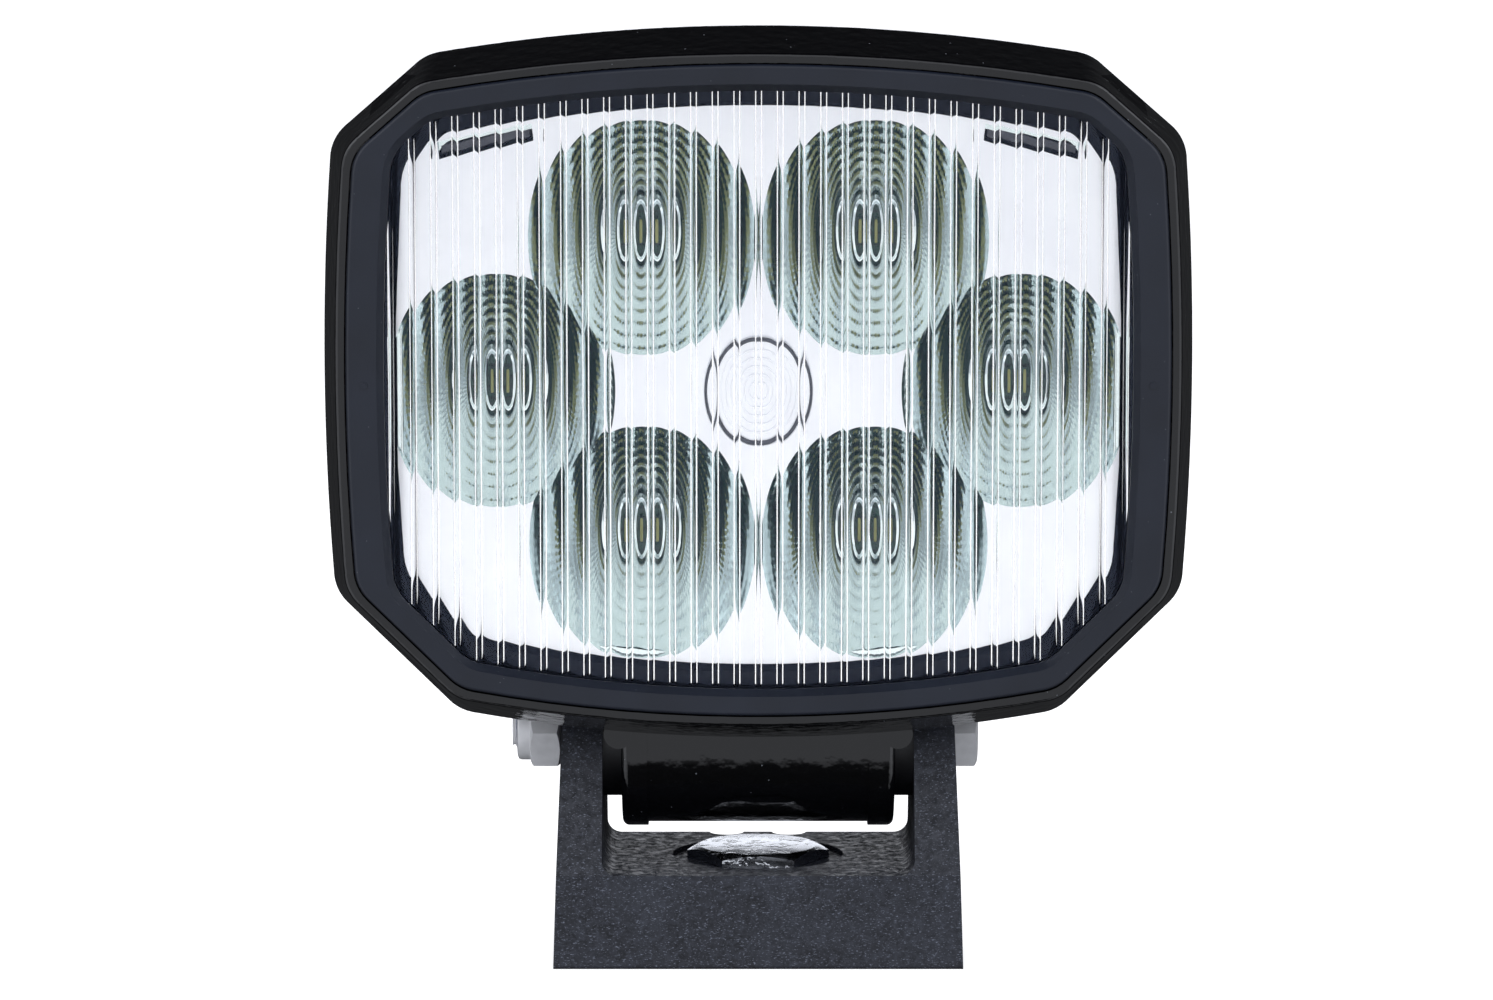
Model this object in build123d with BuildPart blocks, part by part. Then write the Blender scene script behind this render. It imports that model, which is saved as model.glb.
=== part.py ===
from build123d import *
import math
import os

# LED fog light on a tilting bracket.
# Frame: +Z up, the lens faces -Y, origin on the underside of the bracket, on the axis
# of its mounting bolt. Lengths are in millimetres.

# ---------------------------------------------------------------- driving dimensions
PIVOT_Z = 30.6                  # height of the tilt axis, which runs along X

# Bracket
BASE_DEPTH = 34.0
BASE_TOP = 12.9
BRACKET_HALF_BOTTOM = 27.8      # half width at the underside
BRACKET_HALF_PIVOT = 26.8       # half width at the tilt axis
EAR_INNER = 21.2                # inner face of an ear
EAR_RADIUS = 9.5                # rounded top of an ear
RECESS_RADIUS = 11.8
RECESS_DEPTH = 0.5
GAP_ROUND = 2.0                 # round between the base and an ear
BASE_ROUND = 0.6
SLEEVE_RADIUS = 7.0

# Fasteners: M10 hexagon bolt, M6 hexagon bolt and M6 lock nut
M10_HOLE = 5.2                  # radius of the sleeve's bore
M10_WAIST = 4.5                 # reduced shank inside the base
M10_THREAD = 4.95               # outer radius of the threaded length, below the base
M10_FLATS = 17.0
M10_HEAD = 6.4
M10_LENGTH = 30.0
M10_SEAT = 7.8                  # height of the underside of the bolt head
M10_TIP = 1.0                   # bevel on the end of the thread
M6_RADIUS = 3.0
M6_FLATS = 10.0
M6_HEAD = 4.0
M6_LENGTH = 60.0
M6_TIP = 0.8
M6_CLEARANCE = 0.2              # round the pivot bolt in the ears
M6_SEAT = 26.2                  # x of the underside of the pivot bolt head
NUT_HEX = 4.2
NUT_HEIGHT = 6.0
NUT_COLLAR_RADIUS = 4.5
NUT_COLLAR_ROUND = 0.7

# Hinge
BARREL_RADIUS = 13.0
BARREL_HALF = 15.1
FLANGE_RADIUS = 13.5
FLANGE_END = 18.6
FRICTION_RADIUS = 9.4
HINGE_SLEEVE_RADIUS = 4.5
RUNNING = 0.05                  # radial running clearance on the pivot bolt

# Outline of the face, on the seam between housing and bezel
FACE_TOP = 122.7
FACE_BOTTOM = 36.1
FACE_HALF = 54.65
FACE_MIDDLE = 81.0              # height of the widest point
TOP_SAG = 3.8                   # drop of the top edge from its middle to its corners
SIDE_DRAW = 1.2                 # how far the sides come in at their ends
BOTTOM_SAG = 3.7
TOP_CORNER = ((44.2, 118.9), (53.5, 110.8))
BOTTOM_CORNER = ((39.7, 39.8), (53.3, 53.1))

# Stations along Y, from the lens side to the back
BEZEL_FRONT = -26.3
RIM_FRONT = -25.8
LENS_FRONT = -24.9
LENS_BACK = -22.4
LEDGE = -21.0
GUTTER_FLOOR = -18.8
REFLECTOR_FRONT = -18.5
SKIRT_BACK = -14.6
NECK_BACK = -12.0
REFLECTOR_FOOT = -3.4
LED_BOARD_FRONT = -2.0
PAD_FRONT = -0.4
FLOOR = 0.0
BACK_WALL = 4.5
POCKET_FLOOR = 10.3
BOSS_BACK = 12.5
FIN_BACK = 22.0
SOCKET_BACK = 31.0

# Optics: six bowls round a plain centre disc
OPTIC_Z = 79.0
BOWL_CENTRES = [(sx * 15.35, OPTIC_Z + sz * 20.4) for sx in (-1, 1) for sz in (-1, 1)]
BOWL_CENTRES += [(-34.95, OPTIC_Z), (34.95, OPTIC_Z)]
BOWL_RADIUS = 15.6
BOWL_APEX = -2.2
DISC_RADIUS = 7.3
HUB_RADIUS = 9.6

# Electronics
DRIVER_HALF = (28.0, 16.0)      # half width and half height of the driver board
DRIVER_FRONT = 5.6
BOARD = 1.6

# Rear
FIN = 2.4
FIN_PITCH = 8.4
SOCKET_Z = 79.0
VENT_Z = 108.5

CLEAR = 0.1                     # gap between parts that drop into each other

os.makedirs("parts", exist_ok=True)


def front(y):
    """Plane facing the viewer at this Y, with X to the right and Z up."""
    return Plane.XZ.offset(-y)


def side(x):
    """Plane across the tilt axis at this X, with Y to the right and Z up."""
    return Plane.YZ.offset(x)


def shifted(points, grow, sign):
    """Where the corner line, moved outward by grow, gives x for a z and z for an x."""
    (x0, z0), (x1, z1) = points
    length = math.hypot(x1 - x0, z1 - z0)
    nx = abs(z1 - z0) / length
    nz = sign * abs(x1 - x0) / length
    px = x0 + grow * nx
    pz = z0 + grow * nz
    slope = (z1 - z0) / (x1 - x0)
    return (lambda z: px + (z - pz) / slope), (lambda x: pz + (x - px) * slope)


def face_outline(sides, top, bottom, corner, radius=6.0):
    """The face's outline moved outward by these amounts, as a sketch."""
    half = FACE_HALF + sides
    high = FACE_TOP + top
    low = FACE_BOTTOM - bottom
    top_x, top_z = shifted(TOP_CORNER, corner, 1)
    bottom_x, bottom_z = shifted(BOTTOM_CORNER, corner, -1)
    inner = half - SIDE_DRAW
    corners = [
        (top_x(high - TOP_SAG), high - TOP_SAG),
        (inner, top_z(inner)),
        (inner, bottom_z(inner)),
        (bottom_x(low + BOTTOM_SAG), low + BOTTOM_SAG),
    ]
    left = [(-x, z) for x, z in corners]
    with BuildSketch() as outline:
        with BuildLine():
            ThreePointArc(left[0], (0, high), corners[0])
            Line(corners[0], corners[1])
            ThreePointArc(corners[1], (half, FACE_MIDDLE), corners[2])
            Line(corners[2], corners[3])
            ThreePointArc(corners[3], (0, low), left[3])
            Line(left[3], left[2])
            ThreePointArc(left[2], (-half, FACE_MIDDLE), left[1])
            Line(left[1], left[0])
        make_face()
        fillet(outline.vertices(), radius)
    return outline.sketch


def finish(node, name, colour):
    """Label a finished piece and write it."""
    node.part.label = name
    node.part.color = Color(*colour)
    export_step(node.part, f"parts/{name}.step")


BLACK = (0.03, 0.03, 0.035)
DARK = (0.08, 0.08, 0.10)
STEEL = (0.75, 0.76, 0.78)
GREEN = (0.10, 0.35, 0.20)
WHITE = (0.90, 0.90, 0.92)
YELLOW = (0.90, 0.85, 0.30)

# ---------------------------------------------------------------- bracket
ear_reach = math.hypot(BASE_DEPTH / 2, BASE_TOP - PIVOT_Z)
ear_angle = math.atan2(BASE_TOP - PIVOT_Z, BASE_DEPTH / 2) + math.acos(EAR_RADIUS / ear_reach)
EAR_TOUCH = (EAR_RADIUS * math.cos(ear_angle), PIVOT_Z + EAR_RADIUS * math.sin(ear_angle))
EAR_TOP = PIVOT_Z + EAR_RADIUS
SIDE_TAPER = (BRACKET_HALF_BOTTOM - BRACKET_HALF_PIVOT) / PIVOT_Z
NOTCH = (4.4, 2.4, 0.8)         # relief notches: distance from the middle, radius, depth

with BuildPart() as bracket:
    with BuildSketch(Plane.XZ):
        half_top = BRACKET_HALF_BOTTOM - SIDE_TAPER * EAR_TOP
        Polygon(
            (-BRACKET_HALF_BOTTOM, 0), (BRACKET_HALF_BOTTOM, 0),
            (half_top, EAR_TOP), (-half_top, EAR_TOP),
            align=None,
        )
    extrude(amount=BASE_DEPTH / 2, both=True)
    with BuildSketch(Plane.XZ) as gap:
        with Locations((0, BASE_TOP)):
            Rectangle(2 * EAR_INNER, EAR_TOP, align=(Align.CENTER, Align.MIN))
        fillet(gap.vertices().group_by(Axis.Y)[0], GAP_ROUND)
    extrude(amount=BASE_DEPTH / 2, both=True, mode=Mode.SUBTRACT)
    with BuildSketch(Plane.YZ):
        with BuildLine():
            Polyline(
                (-EAR_TOUCH[0], EAR_TOUCH[1]), (-BASE_DEPTH / 2, BASE_TOP),
                (-BASE_DEPTH / 2, 0), (BASE_DEPTH / 2, 0),
                (BASE_DEPTH / 2, BASE_TOP), EAR_TOUCH,
            )
            ThreePointArc(EAR_TOUCH, (0, EAR_TOP), (-EAR_TOUCH[0], EAR_TOUCH[1]))
        make_face()
    extrude(amount=BRACKET_HALF_BOTTOM, both=True, mode=Mode.INTERSECT)
    fillet(bracket.edges().group_by(Axis.Z)[0].filter_by(Axis.X), BASE_ROUND)
    with BuildSketch(Plane.XY.offset(BASE_TOP)):
        Circle(RECESS_RADIUS)
    extrude(amount=-RECESS_DEPTH, mode=Mode.SUBTRACT)
    with BuildSketch(Plane.XY.offset(BASE_TOP)):
        with Locations((-NOTCH[0], BASE_DEPTH / 2), (NOTCH[0], BASE_DEPTH / 2)):
            Circle(NOTCH[1])
    extrude(amount=-NOTCH[2], mode=Mode.SUBTRACT)
    with BuildSketch(Plane.XY.offset(BASE_TOP)):
        RegularPolygon(M10_FLATS / 2 + CLEAR, 6, major_radius=False)
    extrude(amount=M10_SEAT - BASE_TOP, mode=Mode.SUBTRACT)
    with BuildSketch():
        Circle(SLEEVE_RADIUS)
    extrude(amount=M10_SEAT, mode=Mode.SUBTRACT)
    with BuildSketch(side(-BRACKET_HALF_BOTTOM)):
        with Locations((0, PIVOT_Z)):
            Circle(M6_RADIUS + M6_CLEARANCE)
    extrude(amount=2 * BRACKET_HALF_BOTTOM, mode=Mode.SUBTRACT)
    with BuildSketch(side(M6_SEAT)):
        with Locations((0, PIVOT_Z)):
            RegularPolygon(M6_FLATS / 2 + CLEAR, 6, major_radius=False)
    extrude(amount=BRACKET_HALF_BOTTOM - M6_SEAT, mode=Mode.SUBTRACT)
finish(bracket, "bracket", DARK)

with BuildPart() as base_sleeve:
    with BuildSketch():
        Circle(SLEEVE_RADIUS)
        Circle(M10_HOLE, mode=Mode.SUBTRACT)
    extrude(amount=M10_SEAT)
finish(base_sleeve, "base_sleeve", STEEL)

# ---------------------------------------------------------------- hexagon fasteners
HEAD_BEVEL = 30.0               # slope of the bevel round a hexagon head
HEAD_FACE = 0.95                # width of a head's round face, as a share of its flats


def hexagon_blank(flats, height):
    """A hexagon head standing on XY, its top corners cut back by the usual bevel."""
    corner = flats / math.sqrt(3)
    face = HEAD_FACE * flats / 2
    drop = (corner - face) * math.tan(math.radians(HEAD_BEVEL))
    with BuildPart() as blank:
        with BuildSketch():
            RegularPolygon(flats / 2, 6, major_radius=False)
        extrude(amount=height)
        with BuildSketch(Plane.XZ):
            Polygon((0, 0), (corner, 0), (corner, height - drop), (face, height), (0, height), align=None)
        revolve(axis=Axis.Z, mode=Mode.INTERSECT)
    return blank.part


def shank(radius, length, tip):
    """A round shank hanging below XY, with a bevelled tip."""
    with BuildPart() as rod:
        with BuildSketch():
            Circle(radius)
        extrude(amount=-length)
        chamfer(rod.edges().sort_by(Axis.Z)[0], tip)
    return rod.part


with BuildPart(Plane.XY.offset(M10_SEAT)) as mounting_bolt:
    add(hexagon_blank(M10_FLATS, M10_HEAD))
    add(shank(M10_THREAD, M10_LENGTH, M10_TIP))
    with BuildSketch():
        Circle(M10_THREAD)
        Circle(M10_WAIST, mode=Mode.SUBTRACT)
    extrude(amount=M10_SEAT, mode=Mode.SUBTRACT)
finish(mounting_bolt, "mounting_bolt", STEEL)

PIVOT_HEAD = Plane(origin=(M6_SEAT, 0, PIVOT_Z), x_dir=(0, 1, 0), z_dir=(1, 0, 0))
NUT_SEAT = -(BRACKET_HALF_BOTTOM - SIDE_TAPER * (PIVOT_Z - M6_FLATS))
PIVOT_NUT = Plane(origin=(NUT_SEAT, 0, PIVOT_Z), x_dir=(0, 1, 0), z_dir=(-1, 0, 0))

with BuildPart(PIVOT_HEAD) as pivot_bolt:
    add(hexagon_blank(M6_FLATS, M6_HEAD))
    add(shank(M6_RADIUS, M6_LENGTH, M6_TIP))
finish(pivot_bolt, "pivot_bolt", STEEL)

RING_HEIGHT = 1.2               # nylon ring inside the nut's collar
RING_LIP = 0.4                  # metal rolled over the ring
RING_RADIUS = 3.9

with BuildPart(PIVOT_NUT) as pivot_nut:
    add(hexagon_blank(M6_FLATS, NUT_HEX))
    with BuildSketch(PIVOT_NUT.offset(NUT_HEX)):
        Circle(NUT_COLLAR_RADIUS)
    extrude(amount=NUT_HEIGHT - NUT_HEX)
    fillet(pivot_nut.edges().sort_by(Axis.X)[0], NUT_COLLAR_ROUND)
    with BuildSketch(PIVOT_NUT.offset(NUT_HEIGHT - RING_LIP - RING_HEIGHT)):
        Circle(RING_RADIUS)
    extrude(amount=RING_HEIGHT, mode=Mode.SUBTRACT)
    with BuildSketch(PIVOT_NUT):
        Circle(M6_RADIUS)
    extrude(amount=NUT_HEIGHT, mode=Mode.SUBTRACT)
finish(pivot_nut, "pivot_nut", STEEL)

with BuildPart() as nut_ring:
    with BuildSketch(PIVOT_NUT.offset(NUT_HEIGHT - RING_LIP - RING_HEIGHT)):
        Circle(RING_RADIUS)
        Circle(M6_RADIUS, mode=Mode.SUBTRACT)
    extrude(amount=RING_HEIGHT)
finish(nut_ring, "nut_ring", WHITE)

for sign, name in ((-1, "friction_washer_left"), (1, "friction_washer_right")):
    with BuildPart() as friction_washer:
        with BuildSketch(side(sign * (FLANGE_END + RUNNING))):
            with Locations((0, PIVOT_Z)):
                Circle(FRICTION_RADIUS)
                Circle(M6_RADIUS, mode=Mode.SUBTRACT)
        extrude(amount=sign * (EAR_INNER - FLANGE_END - RUNNING))
    finish(friction_washer, name, BLACK)

with BuildPart() as pivot_sleeve:
    with BuildSketch(side(-FLANGE_END)):
        with Locations((0, PIVOT_Z)):
            Circle(HINGE_SLEEVE_RADIUS)
            Circle(M6_RADIUS + RUNNING, mode=Mode.SUBTRACT)
    extrude(amount=2 * FLANGE_END)
finish(pivot_sleeve, "pivot_sleeve", STEEL)

# ---------------------------------------------------------------- outlines of the head
SEAM = (0, 0, 0, 0)
RIM_EDGE = (1.27, 1.27, 1.27, 1.27)
SKIRT = (3.7, 5.1, 4.7, 3.8)
GUTTER_DEEP = (0.6, 0.9, 0.8, 0.7)
GUTTER_OPEN = (1.9, 3.2, 2.8, 2.0)
NECK = (-3.3, -3.3, -3.3, -3.3)
BODY = (-3.3, -3.3, -5.3, -3.8)
WELL = (-5.4, -5.0, -5.4, -5.0)
CAVITY = (-5.4, -5.4, -7.1, -5.9)
OPENING = (-5.1, -3.6, -3.6, -3.4)
LENS_EDGE = (-3.2, -1.7, -1.7, -1.8)
SEAL_INNER = (-4.9, -3.5, -3.5, -3.6)
REFLECTOR_EDGE = (-6.2, -5.7, -6.1, -5.7)
BOARD_EDGE = (-9.0, -8.5, -10.0, -9.0)
FIN_LIMIT = (-4.5, -4.0, -6.5, -4.5)


def grown(outline, amount):
    """The same outline moved outward by a further amount."""
    return tuple(value + amount for value in outline)


# ---------------------------------------------------------------- housing
FIN_HIGH = (118.4, 109.0)       # top of a fin at the wall and at its back edge
FIN_LOW = (42.0, 53.0)
FIN_COUNT = 13
DRIVER_POCKET = (DRIVER_HALF[0] + 1.5, DRIVER_HALF[1] + 1.5)
BOSS_HALF = (DRIVER_POCKET[0] + 2.2, DRIVER_POCKET[1] + 2.2)
SOCKET_FLANGE = (16.4, 9.0)     # half width and half height
SOCKET_SCREWS = ((-13.2, SOCKET_Z), (13.2, SOCKET_Z))
VENT_RADIUS = 6.0
BEZEL_SCREWS = [(sx * 52.5, z) for sx in (-1, 1) for z in (60.0, 102.0)]
BEZEL_SCREW_RADIUS = 1.0
BOARD_SCREW_RADIUS = 1.5
DRIVER_SCREW_RADIUS = 1.25
BOARD_SCREWS = [(sx * 30.0, OPTIC_Z + sz * 26.5) for sx in (-1, 1) for sz in (-1, 1)]
DRIVER_SCREWS = [(sx * 25.5, OPTIC_Z + sz * 13.5) for sx in (-1, 1) for sz in (-1, 1)]
FEED_HALF = 4.5                 # half side of the opening for the socket's pins
LOBE_RADIUS = 2.0               # lobes that tie the hinge flanges to the skirt
LOBE_BACK = -10.5
LOBE_PLACE = (0.3, 1.4)         # beyond the flange's end, above the tilt axis
LOBE_ROOT = 0.6                 # how far a lobe runs into the skirt
VENT_DEPTH = 4.0
VENT_HOLE = 1.5                 # radius of the hole behind the membrane
VENT_WALL = 1.5                 # wall of the vent's boss
VENT_SPACE = 2.5                # cut back from the fins round the vent
RIM_ROUND = 0.45
SKIRT_ROUND = 0.8
FLANGE_ROUND = 0.9
WELL_DEPTH = 5.0                # behind the reflector's front
ROOT = 1.0                      # how far an added post or fin starts inside the wall
POCKET_CORNER = 2.0
BOSS_CORNER = 4.0
STANDOFF_RADIUS = 2.6
SOCKET_POST = (2.5, 3.0)        # radius and height
SOCKET_HOLE = 3.6               # depths of the screw holes
BOARD_HOLE = 3.8
SOCKET_CORNER = 3.0
SOCKET_SPACE = 1.0              # cut back from the fins round the socket

with BuildPart() as fins:
    for number in range(FIN_COUNT):
        x = (number - (FIN_COUNT - 1) / 2) * FIN_PITCH
        with BuildSketch(side(x)):
            Polygon(
                (FLOOR + ROOT, FIN_LOW[0]), (FIN_BACK, FIN_LOW[1]),
                (FIN_BACK, FIN_HIGH[1]), (FLOOR + ROOT, FIN_HIGH[0]),
                align=None,
            )
        extrude(amount=FIN / 2, both=True)
    with BuildSketch(front(FIN_BACK)):
        add(face_outline(*FIN_LIMIT))
    extrude(amount=FIN_BACK, mode=Mode.INTERSECT)

with BuildPart() as housing:
    with BuildSketch(front(RIM_FRONT)):
        add(face_outline(*RIM_EDGE))
    with BuildSketch(front(SKIRT_BACK)):
        add(face_outline(*SKIRT))
    loft()
    fillet(housing.faces().sort_by(Axis.Y)[0].edges(), RIM_ROUND)
    fillet(housing.faces().sort_by(Axis.Y)[-1].edges(), SKIRT_ROUND)
    with BuildSketch(front(GUTTER_FLOOR)):
        add(face_outline(*GUTTER_DEEP))
    with BuildSketch(front(SKIRT_BACK)):
        add(face_outline(*GUTTER_OPEN))
    loft(mode=Mode.SUBTRACT)
    with BuildSketch(front(NECK_BACK)):
        add(face_outline(*NECK))
    extrude(amount=NECK_BACK - GUTTER_FLOOR)
    with BuildSketch(front(BACK_WALL)):
        add(face_outline(*BODY))
    extrude(amount=BACK_WALL - NECK_BACK)
    add(fins.part)
    with BuildSketch(front(BOSS_BACK)):
        with Locations((0, OPTIC_Z)):
            RectangleRounded(2 * BOSS_HALF[0], 2 * BOSS_HALF[1], BOSS_CORNER)
    extrude(amount=BOSS_BACK - FLOOR)
    # hinge barrel, its end flanges and the webs that carry them
    with BuildSketch(side(-BARREL_HALF)):
        with Locations((0, PIVOT_Z)):
            Circle(BARREL_RADIUS)
    extrude(amount=2 * BARREL_HALF)
    for sign in (-1, 1):
        with BuildSketch(side(sign * BARREL_HALF)):
            with Locations((0, PIVOT_Z)):
                Circle(FLANGE_RADIUS)
                Rectangle(2 * FLANGE_RADIUS, FLANGE_RADIUS, align=(Align.CENTER, Align.MIN))
        extrude(amount=sign * (FLANGE_END - BARREL_HALF))
        with BuildSketch(front(LOBE_BACK)):
            with Locations((sign * (FLANGE_END + LOBE_PLACE[0]), PIVOT_Z + LOBE_PLACE[1])):
                Circle(LOBE_RADIUS)
        extrude(amount=LOBE_BACK - SKIRT_BACK + LOBE_ROOT)
    # openings from the front
    with BuildSketch(front(LEDGE)):
        add(face_outline(*grown(SEAM, CLEAR)))
    extrude(amount=LEDGE - RIM_FRONT, mode=Mode.SUBTRACT)
    with BuildSketch(front(REFLECTOR_FRONT + WELL_DEPTH)):
        add(face_outline(*WELL))
    extrude(amount=REFLECTOR_FRONT + WELL_DEPTH - LEDGE, mode=Mode.SUBTRACT)
    with BuildSketch(front(FLOOR)):
        add(face_outline(*CAVITY))
    extrude(amount=FLOOR - LEDGE, mode=Mode.SUBTRACT)
    with BuildSketch(front(POCKET_FLOOR)):
        with Locations((0, OPTIC_Z)):
            RectangleRounded(2 * DRIVER_POCKET[0], 2 * DRIVER_POCKET[1], POCKET_CORNER)
    extrude(amount=POCKET_FLOOR - FLOOR, mode=Mode.SUBTRACT)
    # standoffs that carry the driver board, posts for the socket's screws
    with BuildSketch(front(POCKET_FLOOR + ROOT)):
        with Locations(*DRIVER_SCREWS):
            Circle(STANDOFF_RADIUS)
    extrude(amount=POCKET_FLOOR + ROOT - DRIVER_FRONT - BOARD)
    with BuildSketch(front(POCKET_FLOOR + ROOT)):
        with Locations(*SOCKET_SCREWS):
            Circle(SOCKET_POST[0])
    extrude(amount=SOCKET_POST[1])
    # clearance in the fins for the socket and the vent, and the vent's boss
    with BuildSketch(front(BOSS_BACK)):
        with Locations((0, SOCKET_Z)):
            RectangleRounded(
                2 * (SOCKET_FLANGE[0] + SOCKET_SPACE), 2 * (SOCKET_FLANGE[1] + SOCKET_SPACE),
                SOCKET_CORNER,
            )
        with Locations((0, VENT_Z)):
            Circle(VENT_RADIUS + VENT_SPACE)
    extrude(amount=BOSS_BACK - FIN_BACK, mode=Mode.SUBTRACT)
    with BuildSketch(front(BOSS_BACK)):
        with Locations((0, VENT_Z)):
            Circle(VENT_RADIUS + VENT_WALL)
    extrude(amount=BOSS_BACK - FLOOR)
    with BuildSketch(front(BOSS_BACK)):
        with Locations((0, VENT_Z)):
            Circle(VENT_RADIUS)
    extrude(amount=VENT_DEPTH, mode=Mode.SUBTRACT)
    with BuildSketch(front(BOSS_BACK)):
        with Locations((0, VENT_Z)):
            Circle(VENT_HOLE)
    extrude(amount=BOSS_BACK - FLOOR, mode=Mode.SUBTRACT)
    # opening for the socket's pins and the screw holes
    with BuildSketch(front(BOSS_BACK)):
        with Locations((0, SOCKET_Z)):
            Rectangle(2 * FEED_HALF, 2 * FEED_HALF)
    extrude(amount=BOSS_BACK - POCKET_FLOOR, mode=Mode.SUBTRACT)
    with BuildSketch(front(BOSS_BACK)):
        with Locations(*SOCKET_SCREWS):
            Circle(DRIVER_SCREW_RADIUS)
    extrude(amount=SOCKET_HOLE, mode=Mode.SUBTRACT)
    with BuildSketch(front(FLOOR + BOARD_HOLE)):
        with Locations(*BOARD_SCREWS):
            Circle(BOARD_SCREW_RADIUS)
    extrude(amount=BOARD_HOLE, mode=Mode.SUBTRACT)
    with BuildSketch(front(POCKET_FLOOR)):
        with Locations(*DRIVER_SCREWS):
            Circle(DRIVER_SCREW_RADIUS)
    extrude(amount=POCKET_FLOOR - DRIVER_FRONT - BOARD, mode=Mode.SUBTRACT)
    with BuildSketch(front(GUTTER_FLOOR)):
        with Locations(*BEZEL_SCREWS):
            Circle(BEZEL_SCREW_RADIUS)
    extrude(amount=GUTTER_FLOOR - LEDGE, mode=Mode.SUBTRACT)
    # bore for the pivot sleeve
    with BuildSketch(side(-FLANGE_END)):
        with Locations((0, PIVOT_Z)):
            Circle(HINGE_SLEEVE_RADIUS)
    extrude(amount=2 * FLANGE_END, mode=Mode.SUBTRACT)
    fillet(housing.edges().filter_by(GeomType.CIRCLE).filter_by(
        lambda edge: abs(edge.radius - FLANGE_RADIUS) < 0.01
        and abs(abs(edge.center().X) - FLANGE_END) < 0.01
    ), FLANGE_ROUND)
finish(housing, "housing", BLACK)

# ---------------------------------------------------------------- bezel, lens and seal
NUB = (52.1, 80.3, 0.45, 0.2)   # moulding nub: x, z, radius, height
BEZEL_ROUND = 0.5
BEZEL_BEVEL = 0.9
BEZEL_SKIN = 1.2                # left in front of a screw hole

with BuildPart() as bezel:
    with BuildSketch(front(LEDGE)):
        add(face_outline(*grown(SEAM, -CLEAR)))
    extrude(amount=LEDGE - BEZEL_FRONT)
    fillet(bezel.faces().sort_by(Axis.Y)[0].edges(), BEZEL_ROUND)
    with BuildSketch(front(LEDGE)):
        add(face_outline(*OPENING))
    extrude(amount=LEDGE - BEZEL_FRONT, mode=Mode.SUBTRACT)
    chamfer(bezel.faces().sort_by(Axis.Y)[0].inner_wires()[0].edges(), BEZEL_BEVEL)
    with BuildSketch(front(LEDGE)):
        add(face_outline(*grown(LENS_EDGE, CLEAR)))
    extrude(amount=LEDGE - LENS_FRONT, mode=Mode.SUBTRACT)
    with BuildSketch(front(LEDGE)):
        with Locations(*BEZEL_SCREWS):
            Circle(BEZEL_SCREW_RADIUS)
    extrude(amount=LEDGE - BEZEL_FRONT - BEZEL_SKIN, mode=Mode.SUBTRACT)
    with BuildSketch(front(BEZEL_FRONT)):
        with Locations((-NUB[0], NUB[1]), (NUB[0], NUB[1])):
            Circle(NUB[2])
    extrude(amount=NUB[3])
finish(bezel, "bezel", DARK)

RIB_PITCH = 2.86
RIB_WIDTH = 0.9
RIB_RISE = 0.3                  # also how deep the lens is cut back between the ribs
RIB_SIDE = 17                   # ribs on each side of the middle one

with BuildPart() as lens_ribs:
    with BuildSketch(Plane.XY.offset(FACE_BOTTOM)):
        root = LENS_BACK - RIB_RISE
        half = RIB_WIDTH / 2
        for number in range(-RIB_SIDE, RIB_SIDE + 1):
            middle = number * RIB_PITCH
            with BuildLine():
                ThreePointArc((middle - half, root), (middle, LENS_BACK), (middle + half, root))
                Polyline(
                    (middle + half, root), (middle + half, root - RIB_RISE),
                    (middle - half, root - RIB_RISE), (middle - half, root),
                )
            make_face()
    extrude(amount=FACE_TOP - FACE_BOTTOM)
    with BuildSketch(front(LENS_BACK)):
        add(face_outline(*OPENING))
    extrude(amount=LENS_BACK - LENS_FRONT, mode=Mode.INTERSECT)

with BuildPart() as lens:
    with BuildSketch(front(LENS_BACK)):
        add(face_outline(*LENS_EDGE))
    extrude(amount=LENS_BACK - LENS_FRONT)
    with BuildSketch(front(LENS_BACK)):
        add(face_outline(*OPENING))
    extrude(amount=RIB_RISE, mode=Mode.SUBTRACT)
    add(lens_ribs.part)
finish(lens, "lens", WHITE)

with BuildPart() as lens_gasket:
    with BuildSketch(front(LEDGE)):
        add(face_outline(*LENS_EDGE))
        add(face_outline(*SEAL_INNER), mode=Mode.SUBTRACT)
    extrude(amount=LEDGE - LENS_BACK)
finish(lens_gasket, "lens_gasket", BLACK)

# ---------------------------------------------------------------- reflector
SHELL = 1.3                     # wall of a bowl
PLATE = 1.5                     # thickness of the reflector's front plate
RETURN = 4.5                    # depth of the wall round the reflector's edge
RETURN_WALL = 1.2
BOWL_STEPS = (REFLECTOR_FRONT, -14.0, -9.0, -5.5, REFLECTOR_FOOT)
BAR_HALF = (18.2, 4.05)
DISC_HEIGHT = 0.8
DISC_ROUND = 0.3
STEM_RADIUS = 2.5
CAVITY_GAP = 0.4                # between the bowls and the cavity's wall
POST_RADIUS = 1.8
POSTS = [(sx * 38.0, OPTIC_Z + sz * 22.0) for sx in (-1, 1) for sz in (-1, 1)]
CLIP_HALF = (6.0, 0.5)
CLIP_SLOT = (6.7, 1.15)         # half size of the slot round a clip
CLIP_BACK = -12.0
CLIP_INSET = 0.5                # clip behind the reflector's front
CLIP_TURN = 10.8                # slope of the clips, in degrees, along the top edge
CLIPS = [Location((sx * 36.4, 112.2), -sx * CLIP_TURN) for sx in (-1, 1)]


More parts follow.
